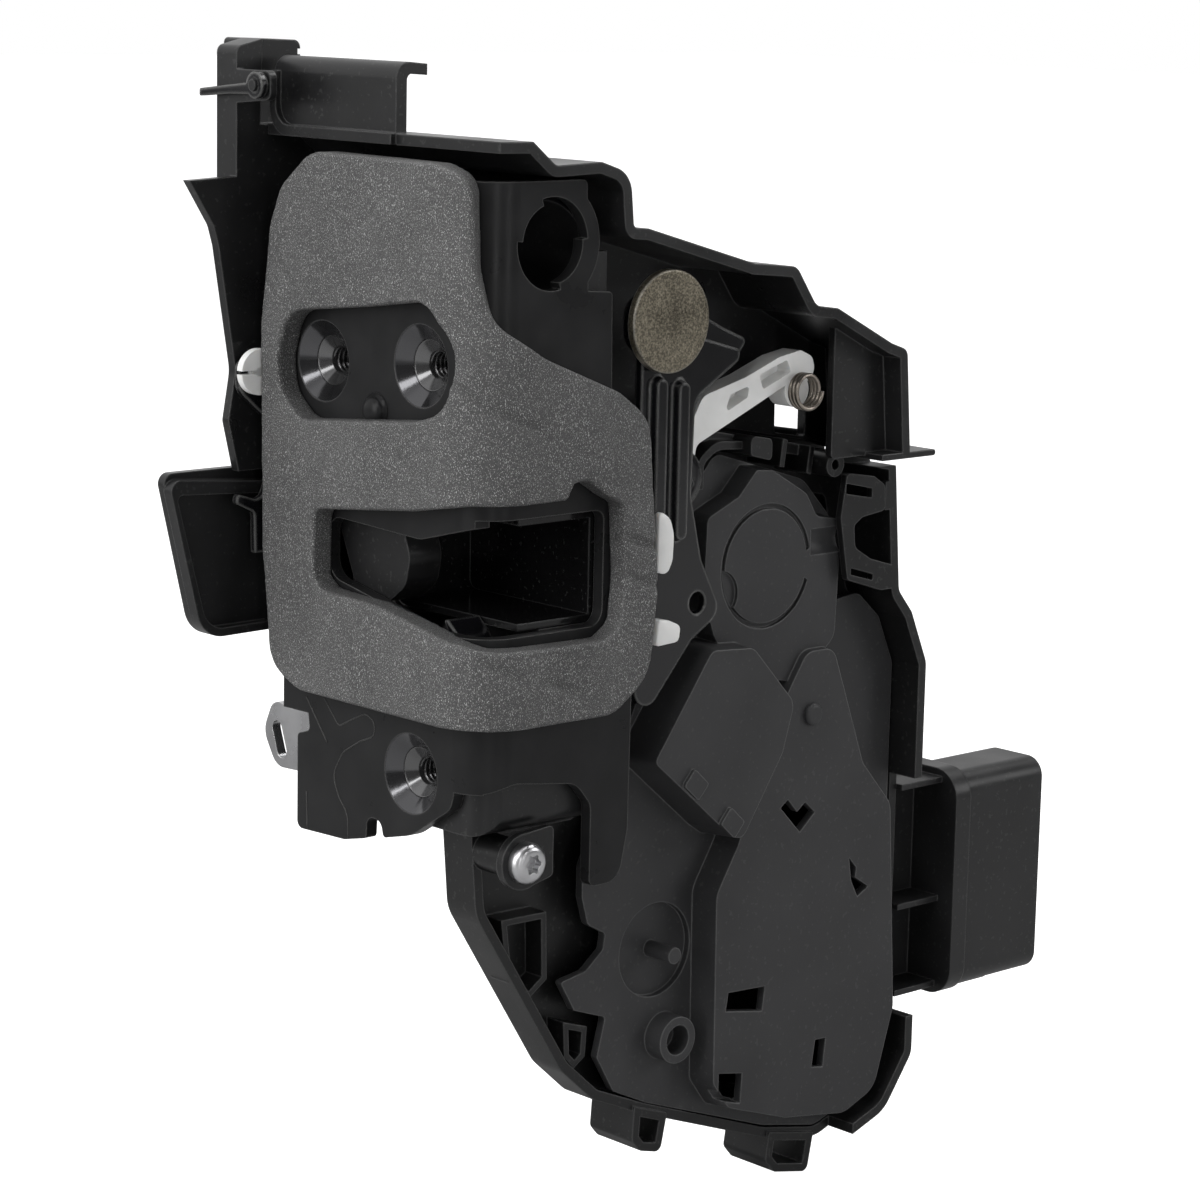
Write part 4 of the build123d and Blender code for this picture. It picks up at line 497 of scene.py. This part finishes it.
# Dents where the sheet was folded and handled: (start, end, depth, width) in the flat drawing. The reach
# is in widths to each side, and the end's share of the swell keeps a little depth there
creaseReach, creaseEnd = 2.5, 0.12
foamCreases = [
    ((-13.0, 82.0), (-9.5, 90.0), 0.35, 1.0), ((-22.0, 97.0), (-17.0, 101.0), 0.3, 0.9),
    ((-30.0, 92.0), (-26.0, 86.0), 0.25, 0.8), ((6.0, 70.0), (20.0, 62.0), 0.6, 0.9),
    ((2.0, 74.0), (9.0, 66.0), 0.5, 0.9), ((36.0, 44.0), (47.0, 40.6), 1.1, 0.8),
    ((38.5, 36.5), (47.0, 33.5), 0.7, 0.8), ((-45.0, 90.0), (-41.0, 84.0), 0.3, 0.9),
    ((4.0, 60.0), (12.0, 52.0), 0.45, 0.9), ((18.0, 20.0), (28.0, 16.0), 0.6, 0.8),
    ((-12.0, 60.0), (-6.0, 55.0), 0.3, 0.9), ((8.0, 24.0), (15.0, 19.5), 0.6, 0.8),
]


def foldFoam(spot):
    # flat drawing to the folded sheet; out is the height above the middle of its thickness
    s, z, out = spot
    radius = foam["midRadius"]
    midFace, midSide = foam["face"] + foam["thick"] / 2, foam["side"] + foam["thick"] / 2
    centre = Vector((midFace + radius, midSide + radius))
    bendLen = radius * math.pi / 2
    if s < 0:
        return Vector((midFace - out, centre.y - s, z))
    if s < bendLen:
        angle = s / radius
        reach = radius + out
        return Vector((centre.x - reach * math.cos(angle), centre.y - reach * math.sin(angle), z))
    return Vector((centre.x + s - bendLen, midSide - out, z))


def creaseDepth(s, z):
    depth = 0.0
    for start, end, deep, wide in foamCreases:
        a, b = Vector(start) * mm, Vector(end) * mm
        here = Vector((s, z))
        along = max(0.0, min(1.0, (here - a).dot(b - a) / (b - a).length_squared))
        off = (here - a.lerp(b, along)).length / (wide * mm)
        if off < creaseReach:
            swell = math.sin(math.pi * (creaseEnd + (1 - 2 * creaseEnd) * along))
            depth += deep * mm * math.exp(-off * off) * swell
    return depth


def makeFoam():
    loops = [roundedLoop(scaled(loop)) for loop in (foamEdge, foamWindow, foamSlot)]
    seal = filledSlab("foamSeal", loops, foam["thick"], foam["edge"], foam["voxel"])
    for vertex in seal.data.vertices:
        s, z, out = vertex.co
        wave = noise.noise(Vector((s, z, 0)) / foam["waveSize"]) * foam["waveDepth"]
        skin = noise.noise(Vector((s, z, out)) / foam["skinSize"]) * foam["skinDepth"]
        if out > 0:
            out += wave + skin - creaseDepth(s, z) - foam["sink"]
        vertex.co = foldFoam((s, z, out))
    seal.data.flip_normals()
    for face in seal.data.polygons:
        face.use_smooth = True
    dress(seal, "foamSkin")
    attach(seal, "latch")
    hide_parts("foam_seal")


makeFoam()
print("foam seal folded")


def band(a, b, count):
    # faces between two rings of points that start at a and b
    return [(a + k, a + (k + 1) % count, b + (k + 1) % count, b + k) for k in range(count)]


def caps(first, last, count):
    # the two end faces of a run of rings, the first and the last
    return [tuple(range(first, first + count)), tuple(reversed(range(last, last + count)))]


def addPiece(name, points, faces, finish, body):
    mesh = bpy.data.meshes.new(name)
    mesh.from_pydata([tuple(p) for p in points], [], faces)
    work = bmesh.new()
    work.from_mesh(mesh)
    bmesh.ops.recalc_face_normals(work, faces=work.faces)
    work.to_mesh(mesh)
    work.free()
    for face in mesh.polygons:
        face.use_smooth = True
    piece = bpy.data.objects.new(name, mesh)
    bpy.context.collection.objects.link(piece)
    dress(piece, finish)
    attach(piece, body)
    return piece


# M6 threads inside the fixing bushes
thread = dict(pitch=1.0 * mm, crest=2.12 * mm, root=2.54 * mm, half=0.44 * mm, start=0.1 * mm, perTurn=28)


def makeThreads():
    turns = (dimple["boreEnd"] - 2 * thread["start"] - thread["half"]) / thread["pitch"]
    steps = int(turns * thread["perTurn"])
    points, faces = [], []
    for y, z in fixingSpots:
        first = len(points)
        for k in range(steps + 1):
            angle = 2 * math.pi * k / thread["perTurn"]
            x = thread["start"] + thread["half"] + thread["pitch"] * k / thread["perTurn"]
            for radius, shift in ((thread["root"], -1), (thread["crest"], 0), (thread["root"], 1)):
                points.append((x + shift * thread["half"], y + radius * math.cos(angle),
                               z + radius * math.sin(angle)))
        for k in range(steps):
            faces += band(first + 3 * k, first + 3 * (k + 1), 3)
        faces += caps(first, first + 3 * steps, 3)
    addPiece("fixingThreads", points, faces, "bushSteel", "latch")


# Lines coined in the face plate, drawn in mm as (Y, Z, radius of the turn) on its outer face
plateFace = -4.0 * mm
coinedLines = dict(width=0.16 * mm, height=0.7, ring=6, paths=[
    [(25.2, 9.6), (20.8, 5.1, 1), (16.2, 7.4, 3), (13.0, 8.8, 2), (10.4, 7.8, 2), (10.4, 5.0, 2),
     (14.7, 3.3, 4), (19.6, 0.4, 5), (22.6, -4.4, 4), (20.6, -8.4, 5), (18.0, -11.0, 4), (17.9, -15.6)],
    [(30.6, 9.0), (24.3, 1.4)],
    [(30.4, -9.0), (30.1, -16.0)],
])


def makeCoinedLines():
    # thin ridges: each a half-sunk tube along its path
    points, faces = [], []
    width, height, ring = coinedLines["width"], coinedLines["height"], coinedLines["ring"]
    for path in coinedLines["paths"]:
        line = roundedPath(scaled(path))
        first = len(points)
        for i, spot in enumerate(line):
            ahead = (line[min(i + 1, len(line) - 1)] - line[max(i - 1, 0)]).normalized()
            across = Vector((-ahead.y, ahead.x))
            for k in range(ring):
                angle = 2 * math.pi * k / ring
                side = spot + across * math.cos(angle) * width
                points.append((plateFace - math.sin(angle) * width * height, side.x, side.y))
        for i in range(len(line) - 1):
            faces += band(first + ring * i, first + ring * (i + 1), ring)
        faces += caps(first, len(points) - ring, ring)
    addPiece("coinedLines", points, faces, "coatedSteel", "latch")


# Domed stop stud that shows at the foot of the seal's window, as (radius, distance from the plate) in mm
stud = dict(y=10.8 * mm, z=64.6 * mm, turns=40, profile=[
    (3.3, 0.1), (3.3, -0.25), (2.7, -0.3), (2.65, -0.9), (2.3, -1.35), (1.6, -1.7), (0.8, -1.85)])


def makeStud():
    points, faces = [], []
    turns = stud["turns"]
    for radius, height in stud["profile"]:
        for k in range(turns):
            angle = 2 * math.pi * k / turns
            points.append((plateFace + height * mm, stud["y"] + radius * mm * math.cos(angle),
                           stud["z"] + radius * mm * math.sin(angle)))
    for i in range(len(stud["profile"]) - 1):
        faces += band(i * turns, (i + 1) * turns, turns)
    faces += caps(0, len(points) - turns, turns)
    addPiece("stopStud", points, faces, "coatedSteel", "latch")


# Foot rail that closes the shield's back panel against the tray, drawn in mm as (Y, Z) and run along X
footRail = dict(left=57.0 * mm, right=101.0 * mm, drop=7.0 * mm, shape=[
    (0.05, 52.4), (0.05, 60.6), (0.35, 61.0), (0.95, 61.0), (1.2, 60.7), (1.2, 54.2), (2.2, 53.6),
    (2.2, 52.4)])


def makeFootRail():
    shape = scaled(footRail["shape"])
    ring = len(shape)
    points = []
    for x, sink in ((footRail["left"], 0.0), (footRail["right"], footRail["drop"])):
        points += [(x, y, z - sink) for y, z in shape]
    faces = caps(0, ring, ring) + band(0, ring, ring)
    rail = addPiece("shieldFootRail", points, faces, "shieldPlastic", "latch")
    for face in rail.data.polygons:
        face.use_smooth = False


# Black washer on the link lever's pivot, between the lever and the bracket
washer = dict(x=47.0 * mm, z=51.0 * mm, front=-15.1 * mm, back=-14.62 * mm, reach=5.6 * mm,
              bore=2.2 * mm, edge=0.1 * mm, turns=48)


def makeWasher():
    points, faces = [], []
    turns, edge = washer["turns"], washer["edge"]
    bore, reach, front, back = (washer[key] for key in ("bore", "reach", "front", "back"))
    rings = ((bore, back), (bore, front), (reach - edge, front), (reach, front + edge), (reach, back))
    for radius, y in rings:
        for k in range(turns):
            angle = 2 * math.pi * k / turns
            points.append((washer["x"] + radius * math.cos(angle), y, washer["z"] + radius * math.sin(angle)))
    for i in range(len(rings)):
        faces += band(i * turns, (i + 1) % len(rings) * turns, turns)
    addPiece("linkWasher", points, faces, "bracketSteel", "latch")


# White ends of the lock lever that stand proud of the bracket beside the seal, drawn in mm as (X, Z, radius)
leverTips = dict(front=-20.3 * mm, edge=0.35 * mm, chamfer=0.3, tips=[
    dict(back=-18.9 * mm, outline=[
        (36.9, 35.4, 0.6), (39.4, 34.7, 1.5), (40.7, 37.2, 3), (41.0, 42.0, 6), (39.9, 45.2, 3),
        (37.0, 47.0, 1)]),
    dict(back=-17.3 * mm, outline=[
        (36.9, 21.6, 0.8), (42.8, 21.9, 1.2), (43.2, 24.9, 1.2), (40.2, 26.2, 2), (37.4, 26.6, 1)]),
])


def makeLeverTips():
    points, faces = [], []
    front, edge = leverTips["front"], leverTips["edge"]
    chamfer = edge * leverTips["chamfer"]
    for tip in leverTips["tips"]:
        loop = roundedLoop(scaled(tip["outline"]))
        middle = sum(loop, Vector((0.0, 0.0))) / len(loop)
        first, ring = len(points), len(loop)
        # eased front edge, then straight back: (Y, how far the outline draws in)
        layers = ((front, edge), (front + chamfer, chamfer), (front + edge, 0.0), (tip["back"], 0.0))
        for y, inset in layers:
            for spot in loop:
                near = spot + (middle - spot).normalized() * inset
                points.append((near.x, y, near.y))
        for i in range(len(layers) - 1):
            faces += band(first + ring * i, first + ring * (i + 1), ring)
        faces += caps(first, len(points) - ring, ring)
    addPiece("lockLeverTips", points, faces, "nylonWhite", "lock")


makeThreads()
makeCoinedLines()
makeStud()
makeFootRail()
makeWasher()
makeLeverTips()
print("threads, coined lines, stud, foot rail, washer and lever tips made")


# Camera fitted to the photograph's three dimples, and plain studio light
view = dict(azimuth=-42.7, elevation=10.45, roll=1.2, lens=105.0, sensor=36.0, near=0.02, far=20.0,
            eye=(-0.39565, -0.47372, 0.14573))


def makeCamera():
    az, el, roll = (math.radians(view[key]) for key in ("azimuth", "elevation", "roll"))
    back = Vector((math.sin(az) * math.cos(el), -math.cos(az) * math.cos(el), math.sin(el)))
    flat = Vector((math.cos(az), math.sin(az), 0.0))
    up = back.cross(flat)
    right = flat * math.cos(roll) + up * math.sin(roll)
    top = up * math.cos(roll) - flat * math.sin(roll)
    data = bpy.data.cameras.new("photoCamera")
    data.lens = view["lens"]
    data.sensor_width = view["sensor"]
    data.clip_start = view["near"]
    data.clip_end = view["far"]
    cam = bpy.data.objects.new("photoCamera", data)
    turn = Matrix((right, top, back)).transposed().to_4x4()
    cam.matrix_world = Matrix.Translation(view["eye"]) @ turn
    bpy.context.collection.objects.link(cam)
    bpy.context.scene.camera = cam


lamps = [
    # name, place, aim, width, height, power
    ("keyLamp", (-0.80, -0.28, 0.78), (0.0, 0.0, 0.02), 0.45, 0.45, 3.4),
    ("leftLamp", (-0.95, 0.10, 0.30), (0.0, 0.0, 0.03), 0.60, 0.60, 4.2),
    ("rightLamp", (0.80, -0.70, 0.35), (0.05, 0.0, 0.0), 0.40, 0.40, 2.4),
    ("highLamp", (0.62, -0.16, 0.80), (0.04, 0.0, 0.02), 0.50, 0.30, 3.0),
    ("topLamp", (0.00, 0.02, 0.95), (0.05, 0.0, 0.0), 0.60, 0.60, 4.2),
    ("stripLamp", (-0.55, -1.00, 0.10), (0.02, 0.0, 0.02), 0.05, 1.00, 2.2),
    ("edgeLamp", (0.10, -1.10, 0.10), (0.04, 0.0, 0.02), 0.03, 1.00, 1.6),
]


def makeLight():
    for name, place, aim, width, height, power in lamps:
        data = bpy.data.lights.new(name, "AREA")
        data.shape = "RECTANGLE"
        data.size = width
        data.size_y = height
        data.energy = power
        lamp = bpy.data.objects.new(name, data)
        lamp.location = place
        lamp.rotation_euler = (Vector(aim) - Vector(place)).to_track_quat("-Z", "Y").to_euler()
        bpy.context.collection.objects.link(lamp)


studio = dict(floorGap=1.5 * mm, floorSize=6.0, floorLift=1.0, floorTone=0.42, floorRough=0.9,
              backdropSide=(-0.25, 0.95, 0.18), backdropEdge=0.55, frontRoom=0.07, backdrop=0.95)


def seenAsWhite(tree):
    # 1 for rays from the camera or through glass
    path = tree.nodes.new("ShaderNodeLightPath")
    seen = tree.nodes.new("ShaderNodeMath")
    seen.operation = "MAXIMUM"
    tree.links.new(path.outputs["Is Camera Ray"], seen.inputs[0])
    tree.links.new(path.outputs["Is Transmission Ray"], seen.inputs[1])
    return seen.outputs[0]


def makeWorld():
    # a white backdrop behind the object and a dim room in front of it, for diffuse and glossy rays
    world = bpy.data.worlds.new("studioWorld")
    bpy.context.scene.world = world
    world.use_nodes = True
    tree = world.node_tree
    room = tree.nodes["Background"]
    heading = tree.nodes.new("ShaderNodeTexCoord").outputs["Generated"]
    facing = tree.nodes.new("ShaderNodeVectorMath")
    facing.operation = "DOT_PRODUCT"
    facing.inputs[1].default_value = studio["backdropSide"]
    tree.links.new(heading, facing.inputs[0])
    stops = [(0.0, (studio["frontRoom"],) * 3), (studio["backdropEdge"], (studio["backdrop"],) * 3)]
    tree.links.new(ramp(tree, facing.outputs["Value"], stops), room.inputs["Color"])
    white = tree.nodes.new("ShaderNodeBackground")
    white.inputs["Color"].default_value = (1, 1, 1, 1)
    mix = tree.nodes.new("ShaderNodeMixShader")
    tree.links.new(seenAsWhite(tree), mix.inputs["Fac"])
    tree.links.new(room.outputs[0], mix.inputs[1])
    tree.links.new(white.outputs[0], mix.inputs[2])
    tree.links.new(mix.outputs[0], tree.nodes["World Output"].inputs["Surface"])


def makeFloor():
    # pale floor that keeps the shadow, lifted to white for the camera
    size = studio["floorSize"]
    level = cadLow.z - studio["floorGap"]
    mesh = bpy.data.meshes.new("studioFloor")
    mesh.from_pydata([(-size, -size, level), (size, -size, level), (size, size, level), (-size, size, level)],
                     [], [(0, 1, 2, 3)])
    floor = bpy.data.objects.new("studioFloor", mesh)
    bpy.context.collection.objects.link(floor)
    mat, tree, shader, _ = newMaterial("studioFloor")
    shader.inputs["Base Color"].default_value = (studio["floorTone"],) * 3 + (1,)
    shader.inputs["Roughness"].default_value = studio["floorRough"]
    lift = times(tree, seenAsWhite(tree), studio["floorLift"])
    tree.links.new(lift, shader.inputs["Emission Strength"])
    shader.inputs["Emission Color"].default_value = (1, 1, 1, 1)
    mesh.materials.append(mat)


makeCamera()
makeLight()
makeWorld()
makeFloor()
bpy.context.scene.view_settings.view_transform = "Standard"
print("studio ready")
